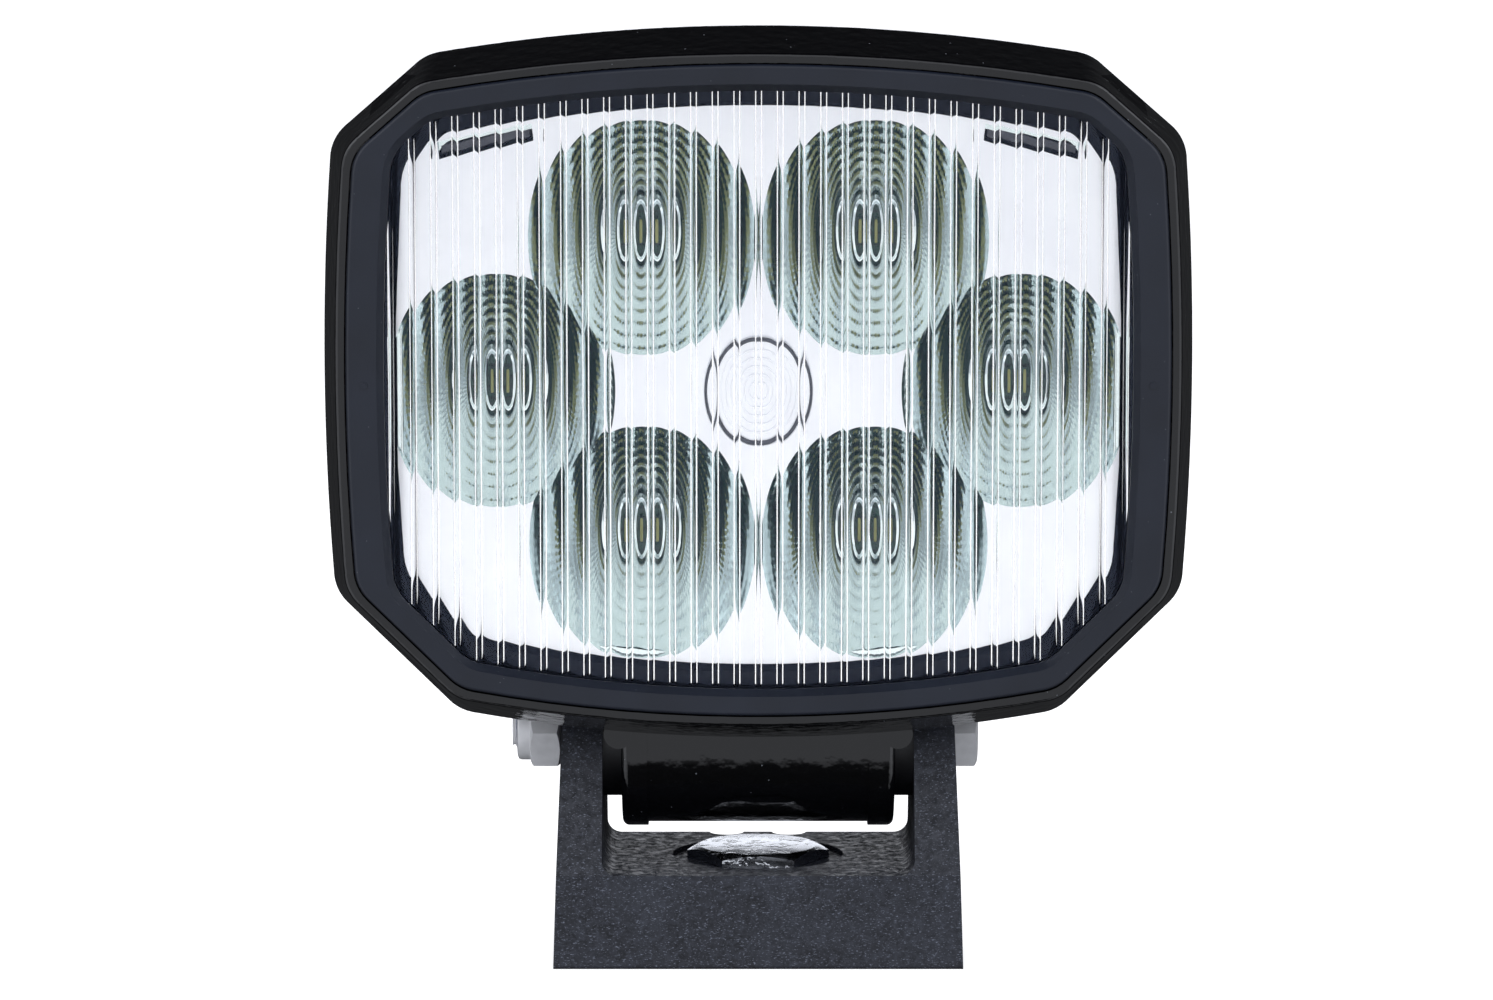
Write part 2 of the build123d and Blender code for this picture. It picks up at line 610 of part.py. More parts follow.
def bowl(wall):
    """One reflector bowl about the Y axis, a stack of cones along a parabola."""
    focus = BOWL_RADIUS ** 2 / (BOWL_APEX - REFLECTOR_FRONT)
    rings = [(math.sqrt(focus * (BOWL_APEX - y)) + wall, y) for y in BOWL_STEPS]
    with BuildPart() as solid:
        with BuildSketch():
            Polygon((0, BOWL_STEPS[0]), *rings, (0, BOWL_STEPS[-1]), align=None)
        revolve(axis=Axis.Y)
    return solid.part


with BuildPart() as reflector:
    with Locations(*[(x, 0, z) for x, z in BOWL_CENTRES]):
        add(bowl(SHELL))
    with BuildSketch(front(REFLECTOR_FOOT)):
        add(face_outline(*grown(CAVITY, -CAVITY_GAP)))
    extrude(amount=REFLECTOR_FOOT - REFLECTOR_FRONT, mode=Mode.INTERSECT)
    with BuildSketch(front(REFLECTOR_FRONT + PLATE)):
        add(face_outline(*REFLECTOR_EDGE))
    extrude(amount=PLATE)
    with Locations(*[(x, 0, z) for x, z in BOWL_CENTRES]):
        add(bowl(0), mode=Mode.SUBTRACT)
    with BuildSketch(front(REFLECTOR_FRONT + RETURN)):
        add(face_outline(*REFLECTOR_EDGE))
        add(face_outline(*grown(REFLECTOR_EDGE, -RETURN_WALL)), mode=Mode.SUBTRACT)
    extrude(amount=RETURN)
    with BuildSketch(front(REFLECTOR_FRONT + PLATE)):
        with Locations((0, OPTIC_Z)):
            Rectangle(2 * BAR_HALF[0], 2 * BAR_HALF[1])
            Circle(HUB_RADIUS)
    extrude(amount=PLATE)
    with BuildSketch(front(REFLECTOR_FRONT + PLATE)):
        with Locations((0, OPTIC_Z)):
            Circle(STEM_RADIUS)
    extrude(amount=PLATE, mode=Mode.SUBTRACT)
    with BuildSketch(front(REFLECTOR_FRONT + RETURN)):
        with Locations(*CLIPS):
            Rectangle(2 * CLIP_SLOT[0], 2 * CLIP_SLOT[1])
    extrude(amount=RETURN, mode=Mode.SUBTRACT)
    with BuildSketch(front(LED_BOARD_FRONT)):
        with Locations(*POSTS):
            Circle(POST_RADIUS)
    extrude(amount=LED_BOARD_FRONT - REFLECTOR_FRONT - ROOT)
finish(reflector, "reflector", WHITE)

with BuildPart() as centre_disc:
    with BuildSketch(front(REFLECTOR_FRONT)):
        with Locations((0, OPTIC_Z)):
            Circle(DISC_RADIUS)
    extrude(amount=DISC_HEIGHT)
    fillet(centre_disc.faces().sort_by(Axis.Y)[0].edges(), DISC_ROUND)
    with BuildSketch(front(REFLECTOR_FRONT + PLATE)):
        with Locations((0, OPTIC_Z)):
            Circle(STEM_RADIUS)
    extrude(amount=PLATE)
finish(centre_disc, "centre_disc", WHITE)

with BuildPart() as reflector_clips:
    with BuildSketch(front(CLIP_BACK)):
        with Locations(*CLIPS):
            Rectangle(2 * CLIP_HALF[0], 2 * CLIP_HALF[1])
    extrude(amount=CLIP_BACK - REFLECTOR_FRONT - CLIP_INSET)
finish(reflector_clips, "reflector_clips", STEEL)

# ---------------------------------------------------------------- LED board
LED_HALF = (0.95, 1.75)
LED_BASE = 0.7
PHOSPHOR_HALF = (0.75, 1.6)
PHOSPHOR_RISE = 0.6

with BuildPart() as led_board:
    with BuildSketch(front(PAD_FRONT)):
        add(face_outline(*BOARD_EDGE))
        with Locations(*BOARD_SCREWS):
            Circle(BOARD_SCREW_RADIUS, mode=Mode.SUBTRACT)
    extrude(amount=BOARD)
finish(led_board, "led_board", GREEN)

with BuildPart() as thermal_pad:
    with BuildSketch(front(FLOOR)):
        add(face_outline(*BOARD_EDGE))
        with Locations((0, OPTIC_Z)):
            RectangleRounded(
                2 * DRIVER_POCKET[0], 2 * DRIVER_POCKET[1], POCKET_CORNER, mode=Mode.SUBTRACT
            )
        with Locations(*BOARD_SCREWS):
            Circle(BOARD_SCREW_RADIUS, mode=Mode.SUBTRACT)
        with Locations((0, VENT_Z)):
            Circle(VENT_SPACE, mode=Mode.SUBTRACT)
    extrude(amount=FLOOR - PAD_FRONT)
finish(thermal_pad, "thermal_pad", STEEL)

with BuildPart() as leds:
    with BuildSketch(front(LED_BOARD_FRONT)):
        with Locations(*BOWL_CENTRES):
            Rectangle(2 * LED_HALF[0], 2 * LED_HALF[1])
    extrude(amount=LED_BASE)
    with BuildSketch(front(LED_BOARD_FRONT - LED_BASE)):
        with Locations(*BOWL_CENTRES):
            Rectangle(2 * PHOSPHOR_HALF[0], 2 * PHOSPHOR_HALF[1])
    extrude(amount=PHOSPHOR_RISE)
finish(leds, "leds", YELLOW)


def screws(plane, places, radius, length, head_radius, head_height):
    """Pan-head screws seated on this plane, as one group of solids."""
    with BuildPart() as group:
        with BuildSketch(plane):
            with Locations(*places):
                Circle(radius)
        extrude(amount=-length)
        with BuildSketch(plane):
            with Locations(*places):
                Circle(head_radius)
        extrude(amount=head_height)
    return group


# length, head radius and head height of each kind of screw
BOARD_SCREW = (5.5, 2.6, 1.6)
DRIVER_SCREW = (3.9, 2.2, 1.4)
BEZEL_SCREW = (6.0, 1.7, 1.2)
SOCKET_SCREW = (6.8, 2.1, 1.6)

led_board_screws = screws(front(LED_BOARD_FRONT), BOARD_SCREWS, BOARD_SCREW_RADIUS, *BOARD_SCREW)
finish(led_board_screws, "led_board_screws", STEEL)

# ---------------------------------------------------------------- driver board
COMPONENTS = DRIVER_FRONT - 1.2 # greatest height of a component on the driver board
PIN_X = 3.5
PIN_RADIUS = 0.8
HEADER = (4.5, 1.3, 93.0)       # half width, half height and height above the base
DRIVER_CORNER = 1.5
INDUCTOR = (14.5, 3.0, 11.0, 2.0)                       # x, z from the middle, side, corner
CAPACITOR_RADIUS = 3.6
CAPACITORS = [(-13.0, rise) for rise in (8.0, -1.0, -10.0)]
CHIPS = [(3.0, -9.5, 9, 6), (15.5, -10.0, 6, 5), (-3.0, 7.0, 5, 4)]     # x, z, width, height
CHIP_THICK = 1.6

with BuildPart() as driver_board:
    with BuildSketch(front(DRIVER_FRONT + BOARD)):
        with Locations((0, OPTIC_Z)):
            RectangleRounded(2 * DRIVER_HALF[0], 2 * DRIVER_HALF[1], DRIVER_CORNER)
        with Locations(*DRIVER_SCREWS):
            Circle(DRIVER_SCREW_RADIUS, mode=Mode.SUBTRACT)
        with Locations((-PIN_X, SOCKET_Z), (PIN_X, SOCKET_Z)):
            Circle(PIN_RADIUS, mode=Mode.SUBTRACT)
    extrude(amount=BOARD)
finish(driver_board, "driver_board", GREEN)

driver_screws = screws(front(DRIVER_FRONT), DRIVER_SCREWS, DRIVER_SCREW_RADIUS, *DRIVER_SCREW)
finish(driver_screws, "driver_screws", STEEL)

with BuildPart() as inductor:
    with BuildSketch(front(DRIVER_FRONT)):
        with Locations((INDUCTOR[0], OPTIC_Z + INDUCTOR[1])):
            RectangleRounded(INDUCTOR[2], INDUCTOR[2], INDUCTOR[3])
    extrude(amount=COMPONENTS)
finish(inductor, "inductor", DARK)

with BuildPart() as capacitors:
    with BuildSketch(front(DRIVER_FRONT)):
        with Locations(*[(x, OPTIC_Z + rise) for x, rise in CAPACITORS]):
            Circle(CAPACITOR_RADIUS)
    extrude(amount=COMPONENTS)
finish(capacitors, "capacitors", STEEL)

with BuildPart() as driver_chips:
    with BuildSketch(front(DRIVER_FRONT)):
        for x, rise, width, height in CHIPS:
            with Locations((x, OPTIC_Z + rise)):
                Rectangle(width, height)
    extrude(amount=CHIP_THICK)
finish(driver_chips, "driver_chips", BLACK)

with BuildPart() as board_header:
    with BuildSketch(front(DRIVER_FRONT)):
        with Locations((0, HEADER[2])):
            Rectangle(2 * HEADER[0], 2 * HEADER[1])
    extrude(amount=DRIVER_FRONT - PAD_FRONT)
finish(board_header, "board_header", BLACK)

# ---------------------------------------------------------------- bezel screws and vent
bezel_screws = screws(
    Plane(origin=(0, GUTTER_FLOOR, 0), x_dir=(1, 0, 0), z_dir=(0, 1, 0)),
    [(x, -z) for x, z in BEZEL_SCREWS], BEZEL_SCREW_RADIUS, *BEZEL_SCREW,
)
finish(bezel_screws, "bezel_screws", STEEL)

MEMBRANE = 0.3
MEMBRANE_EDGE = 0.5             # gap round the membrane
VENT_SLOT = 1.2
CAP_HEIGHT = 1.2                # of the vent cap above its boss
CAP_ROUND = 0.5
CAP_CUT = 1.0                   # depth of the cap's slots

with BuildPart() as vent_membrane:
    with BuildSketch(front(BOSS_BACK - VENT_DEPTH + MEMBRANE)):
        with Locations((0, VENT_Z)):
            Circle(VENT_RADIUS - MEMBRANE_EDGE)
    extrude(amount=MEMBRANE)
finish(vent_membrane, "vent_membrane", WHITE)

with BuildPart() as vent_cap:
    with BuildSketch(front(BOSS_BACK + CAP_HEIGHT)):
        with Locations((0, VENT_Z)):
            Circle(VENT_RADIUS)
    extrude(amount=CAP_HEIGHT + VENT_DEPTH - MEMBRANE)
    fillet(vent_cap.edges().sort_by(Axis.Y)[-1], CAP_ROUND)
    with BuildSketch(front(BOSS_BACK + CAP_HEIGHT)):
        with Locations((0, VENT_Z)):
            Rectangle(4 * VENT_RADIUS, VENT_SLOT)
            Rectangle(VENT_SLOT, 4 * VENT_RADIUS)
    extrude(amount=CAP_CUT, mode=Mode.SUBTRACT)
    with BuildSketch(front(BOSS_BACK)):
        with Locations((0, VENT_Z)):
            Circle(VENT_SLOT)
    extrude(amount=VENT_DEPTH, both=True, mode=Mode.SUBTRACT)
finish(vent_cap, "vent_cap", DARK)

# ---------------------------------------------------------------- power socket
SEAL = 1.0
SHELL_HALF = (10.0, 8.5)
SHELL_WALL = 1.6
SHELL_CORNER = 1.6              # inside the shell
SOCKET_BASE = 4.5
FLANGE_THICK = 2.5
LATCH = (7.0, 2.4, 6.0)         # width, height and depth of the plug's latch step
LATCH_BACK = 4.0                # behind the shell's mouth
PIN_TIP = 24.0
PIN_ROOT = 0.8                  # pin ends in front of the driver board
PIN_BEVEL = 0.3

with BuildPart() as socket_seal:
    with BuildSketch(front(BOSS_BACK + SEAL)):
        with Locations((0, SOCKET_Z)):
            RectangleRounded(2 * SHELL_HALF[0], 2 * SHELL_HALF[1], SOCKET_CORNER)
            Rectangle(2 * FEED_HALF, 2 * FEED_HALF, mode=Mode.SUBTRACT)
    extrude(amount=SEAL)
finish(socket_seal, "socket_seal", BLACK)

with BuildPart() as power_socket:
    with BuildSketch(front(BOSS_BACK + SEAL + FLANGE_THICK)):
        with Locations((0, SOCKET_Z)):
            RectangleRounded(2 * SOCKET_FLANGE[0], 2 * SOCKET_FLANGE[1], SOCKET_CORNER)
    extrude(amount=FLANGE_THICK)
    with BuildSketch(front(SOCKET_BACK)):
        with Locations((0, SOCKET_Z)):
            RectangleRounded(2 * SHELL_HALF[0], 2 * SHELL_HALF[1], SOCKET_CORNER)
    extrude(amount=SOCKET_BACK - BOSS_BACK - SEAL)
    with BuildSketch(front(SOCKET_BACK)):
        with Locations((0, SOCKET_Z)):
            RectangleRounded(
                2 * (SHELL_HALF[0] - SHELL_WALL), 2 * (SHELL_HALF[1] - SHELL_WALL), SHELL_CORNER
            )
    extrude(amount=SOCKET_BACK - BOSS_BACK - SEAL - SOCKET_BASE, mode=Mode.SUBTRACT)
    with BuildSketch(front(SOCKET_BACK)):
        with Locations((-PIN_X, SOCKET_Z), (PIN_X, SOCKET_Z)):
            Circle(PIN_RADIUS)
    extrude(amount=SOCKET_BACK - BOSS_BACK, mode=Mode.SUBTRACT)
    with BuildSketch(front(SOCKET_BACK)):
        with Locations(*SOCKET_SCREWS):
            Circle(DRIVER_SCREW_RADIUS)
    extrude(amount=SOCKET_BACK - BOSS_BACK, mode=Mode.SUBTRACT)
    # latch step for the plug
    with BuildSketch(front(SOCKET_BACK - LATCH_BACK)):
        with Locations((0, SOCKET_Z + SHELL_HALF[1])):
            Rectangle(LATCH[0], LATCH[1])
    extrude(amount=LATCH[2])
finish(power_socket, "power_socket", BLACK)

with BuildPart() as socket_pins:
    with BuildSketch(front(PIN_TIP)):
        with Locations((-PIN_X, SOCKET_Z), (PIN_X, SOCKET_Z)):
            Circle(PIN_RADIUS)
    extrude(amount=PIN_TIP - DRIVER_FRONT + PIN_ROOT)
    chamfer(socket_pins.edges().group_by(Axis.Y)[-1], PIN_BEVEL)
finish(socket_pins, "socket_pins", STEEL)

socket_screws = screws(
    Plane(origin=(0, BOSS_BACK + SEAL + FLANGE_THICK, 0), x_dir=(1, 0, 0), z_dir=(0, 1, 0)),
    [(x, -z) for x, z in SOCKET_SCREWS], DRIVER_SCREW_RADIUS, *SOCKET_SCREW,
)
finish(socket_screws, "socket_screws", STEEL)
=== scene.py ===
"""Looks of the LED fog light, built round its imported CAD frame. Lengths are in metres."""

import math

import bmesh
import bpy
import numpy as np
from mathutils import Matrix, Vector
from mathutils.geometry import convex_hull_2d, delaunay_2d_cdt, tessellate_polygon


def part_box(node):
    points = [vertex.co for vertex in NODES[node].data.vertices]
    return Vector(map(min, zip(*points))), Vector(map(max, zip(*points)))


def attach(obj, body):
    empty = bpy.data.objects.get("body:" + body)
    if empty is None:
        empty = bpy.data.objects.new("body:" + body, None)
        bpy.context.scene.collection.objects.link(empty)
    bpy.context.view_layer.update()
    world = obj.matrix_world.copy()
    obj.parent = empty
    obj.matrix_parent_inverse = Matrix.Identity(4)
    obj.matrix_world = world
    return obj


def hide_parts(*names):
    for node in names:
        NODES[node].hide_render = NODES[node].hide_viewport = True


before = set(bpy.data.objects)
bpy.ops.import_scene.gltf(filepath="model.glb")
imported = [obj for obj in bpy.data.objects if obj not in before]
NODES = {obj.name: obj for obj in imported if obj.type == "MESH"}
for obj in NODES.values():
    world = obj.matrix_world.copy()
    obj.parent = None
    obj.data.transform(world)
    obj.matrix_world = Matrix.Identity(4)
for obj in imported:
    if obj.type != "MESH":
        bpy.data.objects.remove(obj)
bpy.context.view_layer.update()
MM = 0.001
WELD = 1e-7                     # vertices closer than this are one
SAME_Y = 0.02 * MM              # a vertex this close to a Y station is on it
PLATE_WELD = 1e-8               # the same, where bowls, plate and return wall come together


# ---------------------------------------------------------------- places read from the frame
def middle(node):
    """Centre of a CAD node's box."""
    low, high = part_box(node)
    return (low + high) / 2


def outline_at(node, y):
    """Convex outline, as (x, z) points in order, of a CAD node's vertices at this Y."""
    points = [(v.co.x, v.co.z) for v in NODES[node].data.vertices if abs(v.co.y - y) < SAME_Y]
    return [points[i] for i in convex_hull_2d(points)]


def clusters(node, reach):
    """Centres, as (x, z), of the groups that a CAD node's vertices form when seen from the front."""
    groups = []
    for v in NODES[node].data.vertices:
        point = np.array((v.co.x, v.co.z))
        for group in groups:
            if np.hypot(*(point - group[0])) < reach:
                group.append(point)
                break
        else:
            groups.append([point])
    return [(np.min(group, 0) + np.max(group, 0)) / 2 for group in groups]


def edge_heights(outline, xs):
    """Lowest and highest z of a convex outline at each x."""
    points = np.array(outline)
    first = int(np.argmin(points[:, 0]))
    points = np.roll(points, -first, 0)
    last = int(np.argmax(points[:, 0]))
    one = points[: last + 1]
    other = np.vstack([points[last:], points[:1]])[::-1]
    z_one = np.interp(xs, one[:, 0], one[:, 1])
    z_other = np.interp(xs, other[:, 0], other[:, 1])
    return np.minimum(z_one, z_other), np.maximum(z_one, z_other)


def drawn_in(outline, amount):
    """A convex outline moved inward by this amount."""
    points = np.array(outline)
    centre = points.mean(0)
    ahead = np.roll(points, -1, 0) - points
    ahead /= np.linalg.norm(ahead, axis=1)[:, None]
    behind = np.roll(ahead, 1, 0)
    along = ahead + behind
    along /= np.linalg.norm(along, axis=1)[:, None]
    normal = np.stack([along[:, 1], -along[:, 0]], 1)
    inward = np.sign(((centre - points) * normal).sum(1))[:, None] * normal
    half_turn = np.sqrt((1 + (ahead * behind).sum(1)) / 2)
    return [tuple(p) for p in points + inward * (amount / half_turn)[:, None]]


# ---------------------------------------------------------------- mesh helpers
def piece(name, build, material, body, replaced=(), smooth_angle=30.0):
    """A mesh that rides on a body and stands for the replaced CAD nodes."""
    mesh = bpy.data.meshes.new(name)
    mesh.from_pydata(build.verts, [], build.faces)
    mesh.validate()
    bm = bmesh.new()
    bm.from_mesh(mesh)
    bmesh.ops.remove_doubles(bm, verts=bm.verts, dist=WELD)
    bmesh.ops.recalc_face_normals(bm, faces=bm.faces)
    bm.to_mesh(mesh)
    bm.free()
    mesh.materials.append(MATERIALS[material])
    put_in_scene(name, mesh, body, replaced, smooth_angle)


def put_in_scene(name, mesh, body, replaced, smooth_angle):
    """Shade a finished mesh, put it in the scene and say what it rides on and replaces."""
    mesh.polygons.foreach_set("use_smooth", [True] * len(mesh.polygons))
    mesh.set_sharp_from_angle(angle=math.radians(smooth_angle))
    obj = bpy.data.objects.new(name, mesh)
    bpy.context.scene.collection.objects.link(obj)
    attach(obj, body)
    if replaced:
        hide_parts(*replaced)


class Build:
    """Vertices and faces of one piece, gathered part by part."""

    def __init__(self):
        self.verts = []
        self.faces = []

    def add(self, verts, faces):
        """More vertices, and faces over them counted from their first."""
        start = len(self.verts)
        self.verts += [tuple(float(c) for c in v) for v in verts]
        self.faces += [tuple(start + i for i in f) for f in faces]

    def grid(self, points, closed=True, caps=True):
        """Quads over an array of rings of points, the ends closed by fans where caps is set."""
        rings, count = points.shape[:2]
        faces = []
        for i in range(rings - 1):
            for j in range(count if closed else count - 1):
                k = (j + 1) % count
                faces.append((i * count + j, i * count + k, (i + 1) * count + k, (i + 1) * count + j))
        if caps:
            faces.append(tuple(range(count)))
            faces.append(tuple(range((rings - 1) * count, rings * count))[::-1])
        self.add(points.reshape(-1, 3), faces)

    def prism(self, outline, y0, y1):
        """A closed prism between two Y stations over an (x, z) outline."""
        ring = np.array([[(x, y, z) for x, z in outline] for y in (y0, y1)])
        self.grid(ring)


# ---------------------------------------------------------------- materials
INSIDE_LEAD = 3 * MM            # the head's inside starts this far in front of its reflector


class Shader:
    """A node material round one Principled shader, with short ways to add detail."""

    def __init__(self, name, **uniform):
        self.material = bpy.data.materials.new(name)
        self.material.use_nodes = True
        self.tree = self.material.node_tree
        self.tree.nodes.clear()
        output = self.node("OutputMaterial")
        self.bsdf = self.node("BsdfPrincipled")
        self.link(self.bsdf.outputs[0], output.inputs[0])
        self.place = self.node("TexCoord").outputs["Object"]
        self.normal = None
        for socket, value in uniform.items():
            self.bsdf.inputs[socket.replace("_", " ")].default_value = value

    def node(self, kind, **values):
        node = self.tree.nodes.new("ShaderNode" + kind)
        for key, value in values.items():
            setattr(node, key, value)
        return node

    def link(self, a, b):
        self.tree.links.new(a, b)

    def stretched(self, x, y, z):
        """Texture place scaled by these amounts along each axis."""
        mapping = self.node("Mapping")
        mapping.inputs["Scale"].default_value = (x, y, z)
        self.link(self.place, mapping.inputs["Vector"])
        return mapping.outputs[0]

    def noise(self, size, detail=3.0, rough=0.5, place=None, distortion=0.0):
        """Noise whose features are about this many metres across."""
        node = self.node("TexNoise")
        node.inputs["Scale"].default_value = 1 / size
        node.inputs["Detail"].default_value = detail
        node.inputs["Roughness"].default_value = rough
        node.inputs["Distortion"].default_value = distortion
        self.link(place or self.place, node.inputs["Vector"])
        return node.outputs["Fac"]

    def cells(self, size):
        """Distance to the nearest of many points, about this many metres apart."""
        node = self.node("TexVoronoi")
        node.inputs["Scale"].default_value = 1 / size
        self.link(self.place, node.inputs["Vector"])
        return node.outputs["Distance"]

    def ramp(self, value, low, high, out_low=0.0, out_high=1.0):
        """Value mapped linearly from low..high to out_low..out_high, and held beyond."""
        node = self.node("MapRange")
        self.link(value, node.inputs["Value"])
        sockets = ("From Min", "From Max", "To Min", "To Max")
        for socket, number in zip(sockets, (low, high, out_low, out_high)):
            node.inputs[socket].default_value = number
        return node.outputs[0]

    def colours(self, value, *stops):
        """Colour ramp through (position, (r, g, b)) stops."""
        node = self.node("ValToRGB")
        elements = node.color_ramp.elements
        while len(elements) < len(stops):
            elements.new(0.5)
        for element, (position, colour) in zip(elements, stops):
            element.position = position
            element.color = (*colour, 1)
        self.link(value, node.inputs[0])
        return node.outputs[0]

    def within(self, wide, deep):
        """1 inside the width of one CAD node and the depth of another, else 0."""
        low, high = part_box(wide)
        front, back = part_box(deep)
        split = self.node("SeparateXYZ")
        self.link(self.place, split.inputs[0])
        total = None
        spans = ((low.x, high.x), (front.y - INSIDE_LEAD, back.y), (low.z, high.z))
        for axis, (least, most) in enumerate(spans):
            test = self.node("Math", operation="COMPARE")
            test.inputs[1].default_value = (least + most) / 2
            test.inputs[2].default_value = (most - least) / 2
            self.link(split.outputs[axis], test.inputs[0])
            if total is None:
                total = test.outputs[0]
            else:
                both = self.node("Math", operation="MULTIPLY")
                self.link(total, both.inputs[0])
                self.link(test.outputs[0], both.inputs[1])
                total = both.outputs[0]
        return total

    def mix(self, factor, a, b):
        """Mix of two colours, each a tuple or another node's output."""
        node = self.node("Mix", data_type="RGBA")
        self.link(factor, node.inputs["Factor"])
        for value, socket in ((a, node.inputs[6]), (b, node.inputs[7])):
            if isinstance(value, tuple):
                socket.default_value = (*value, 1)
            else:
                self.link(value, socket)
        return node.outputs[2]

    def colour(self, output):
        self.link(output, self.bsdf.inputs["Base Color"])

    def roughness(self, output):
        self.link(output, self.bsdf.inputs["Roughness"])

    def bump(self, height, distance):
        """Adds a bump of this many metres for a height of 1."""
        node = self.node("Bump")
        node.inputs["Distance"].default_value = distance
        node.inputs["Strength"].default_value = 1.0
        self.link(height, node.inputs["Height"])
        if self.normal is not None:
            self.link(self.normal, node.inputs["Normal"])
        self.normal = node.outputs[0]
        self.link(self.normal, self.bsdf.inputs["Normal"])


def powder_coat():
    """Gloss black powder coat with orange peel and a few dust specks."""
    s = Shader("powder_coat", Coat_Roughness=0.05)
    peel = s.noise(1.9 * MM, 2.0, 0.4)
    fine = s.noise(0.5 * MM, 2.0)
    dust = s.ramp(s.cells(2.6 * MM), 0.035, 0.05, 1.0, 0.0)
    base = s.colours(fine, (0.3, (0.0015, 0.0015, 0.002)), (0.8, (0.003, 0.003, 0.004)))
    s.colour(s.mix(dust, base, (0.16, 0.17, 0.19)))
    s.roughness(s.ramp(s.noise(4 * MM), 0.3, 0.7, 0.06, 0.12))
    s.bump(peel, 0.16 * MM)
    inside = s.within("lens", "reflector")
    s.link(s.ramp(inside, 0, 1, 0.5, 0.05), s.bsdf.inputs["Specular IOR Level"])
    s.link(s.ramp(inside, 0, 1, 0.4, 0.0), s.bsdf.inputs["Coat Weight"])
    s.bump(fine, 0.008 * MM)
    return s.material


def bezel_plastic():
    """Satin black moulded plastic, faintly blue."""
    s = Shader("bezel_plastic", Specular_IOR_Level=0.5)
    grain = s.noise(0.22 * MM, 3.0, 0.6)
    cloud = s.noise(9 * MM, 2.0)
    base = s.colours(cloud, (0.3, (0.006, 0.009, 0.018)), (0.7, (0.009, 0.013, 0.025)))
    speck = s.ramp(s.cells(1.7 * MM), 0.03, 0.045, 1.0, 0.0)
    s.colour(s.mix(speck, base, (0.10, 0.11, 0.13)))
    s.roughness(s.ramp(grain, 0.3, 0.7, 0.34, 0.46))
    s.bump(grain, 0.012 * MM)
    return s.material


def bracket_plastic():
    """Glass-filled black nylon: mottled, with flow streaks and bright fibre specks."""
    s = Shader("bracket_plastic", Specular_IOR_Level=0.5)
    mottle = s.noise(1.3 * MM, 8.0, 0.68, distortion=0.8)
    cloud = s.noise(9 * MM, 3.0, 0.5, distortion=0.5)
    streak = s.noise(0.9 * MM, 4.0, 0.6, place=s.stretched(0.4, 1.0, 1.8), distortion=2.0)
    fibre = s.noise(0.22 * MM, 2.0, 0.7, place=s.stretched(0.6, 1.0, 1.3))
    body = s.colours(
        mottle, (0.38, (0.005, 0.006, 0.010)), (0.52, (0.013, 0.015, 0.023)), (0.66, (0.030, 0.034, 0.048))
    )
    hazy = s.mix(s.ramp(cloud, 0.45, 0.75, 0.0, 0.45), body, (0.036, 0.041, 0.056))
    swirl = s.mix(s.ramp(streak, 0.58, 0.74, 0.0, 0.7), hazy, (0.055, 0.062, 0.082))
    s.colour(s.mix(s.ramp(fibre, 0.59, 0.74), swirl, (0.21, 0.23, 0.29)))
    s.roughness(s.ramp(mottle, 0.38, 0.62, 0.70, 0.30))
    s.bump(mottle, 0.06 * MM)
    s.bump(fibre, 0.02 * MM)
    return s.material


def metal(name, colour, rough, grain=0.3 * MM, streaks=(1, 1, 1), metallic=1.0, dents=0.0):
    """Plain or brushed metal, dented where dents gives a depth."""
    s = Shader(name, Metallic=metallic)
    scratch = s.noise(grain, 4.0, 0.6, place=s.stretched(*streaks))
    cloud = s.noise(3 * MM, 3.0)
    darker = tuple(0.86 * c for c in colour)
    s.colour(s.colours(cloud, (0.35, darker), (0.65, colour)))
    s.roughness(s.ramp(scratch, 0.3, 0.7, 0.75 * rough, 1.3 * rough))
    s.bump(scratch, 0.006 * MM)
    if dents:
        s.bump(s.ramp(s.noise(2.4 * MM, 3.0, 0.6), 0.52, 0.66), dents)
    return s.material


def metallised():
    """Vacuum-metallised reflector: bright, with the faint waviness of a moulded surface."""
    s = Shader("metallised", Metallic=1.0)
    wave = s.noise(3.5 * MM, 2.0)
    grain = s.noise(0.12 * MM, 2.0)
    s.colour(s.colours(wave, (0.3, (0.60, 0.67, 0.67)), (0.7, (0.68, 0.75, 0.75))))
    s.roughness(s.ramp(grain, 0.3, 0.7, 0.06, 0.11))
    s.bump(wave, 0.01 * MM)
    return s.material


def satin_metallised():
    """The reflector's flat front: the same metal over a finely etched mould face."""
    s = Shader("satin_metallised", Metallic=1.0)
    grain = s.noise(0.15 * MM, 3.0, 0.6)
    cloud = s.noise(7 * MM, 2.0)
    s.colour(s.colours(cloud, (0.3, (0.88, 0.89, 0.93)), (0.7, (0.93, 0.94, 0.97))))
    s.roughness(s.ramp(grain, 0.3, 0.7, 0.31, 0.39))
    s.bump(grain, 0.006 * MM)
    return s.material


def clear_lens():
    """Clear polycarbonate."""
    s = Shader(
        "clear_lens", Transmission_Weight=1.0, IOR=1.49,
        Base_Color=(0.985, 0.99, 0.995, 1), Specular_Tint=(0.25, 0.3, 0.45, 1),
    )
    haze = s.noise(5 * MM, 3.0)
    s.roughness(s.ramp(haze, 0.3, 0.7, 0.0, 0.012))
    s.bump(s.noise(1.2 * MM, 2.0), 0.0008 * MM)
    return s.material


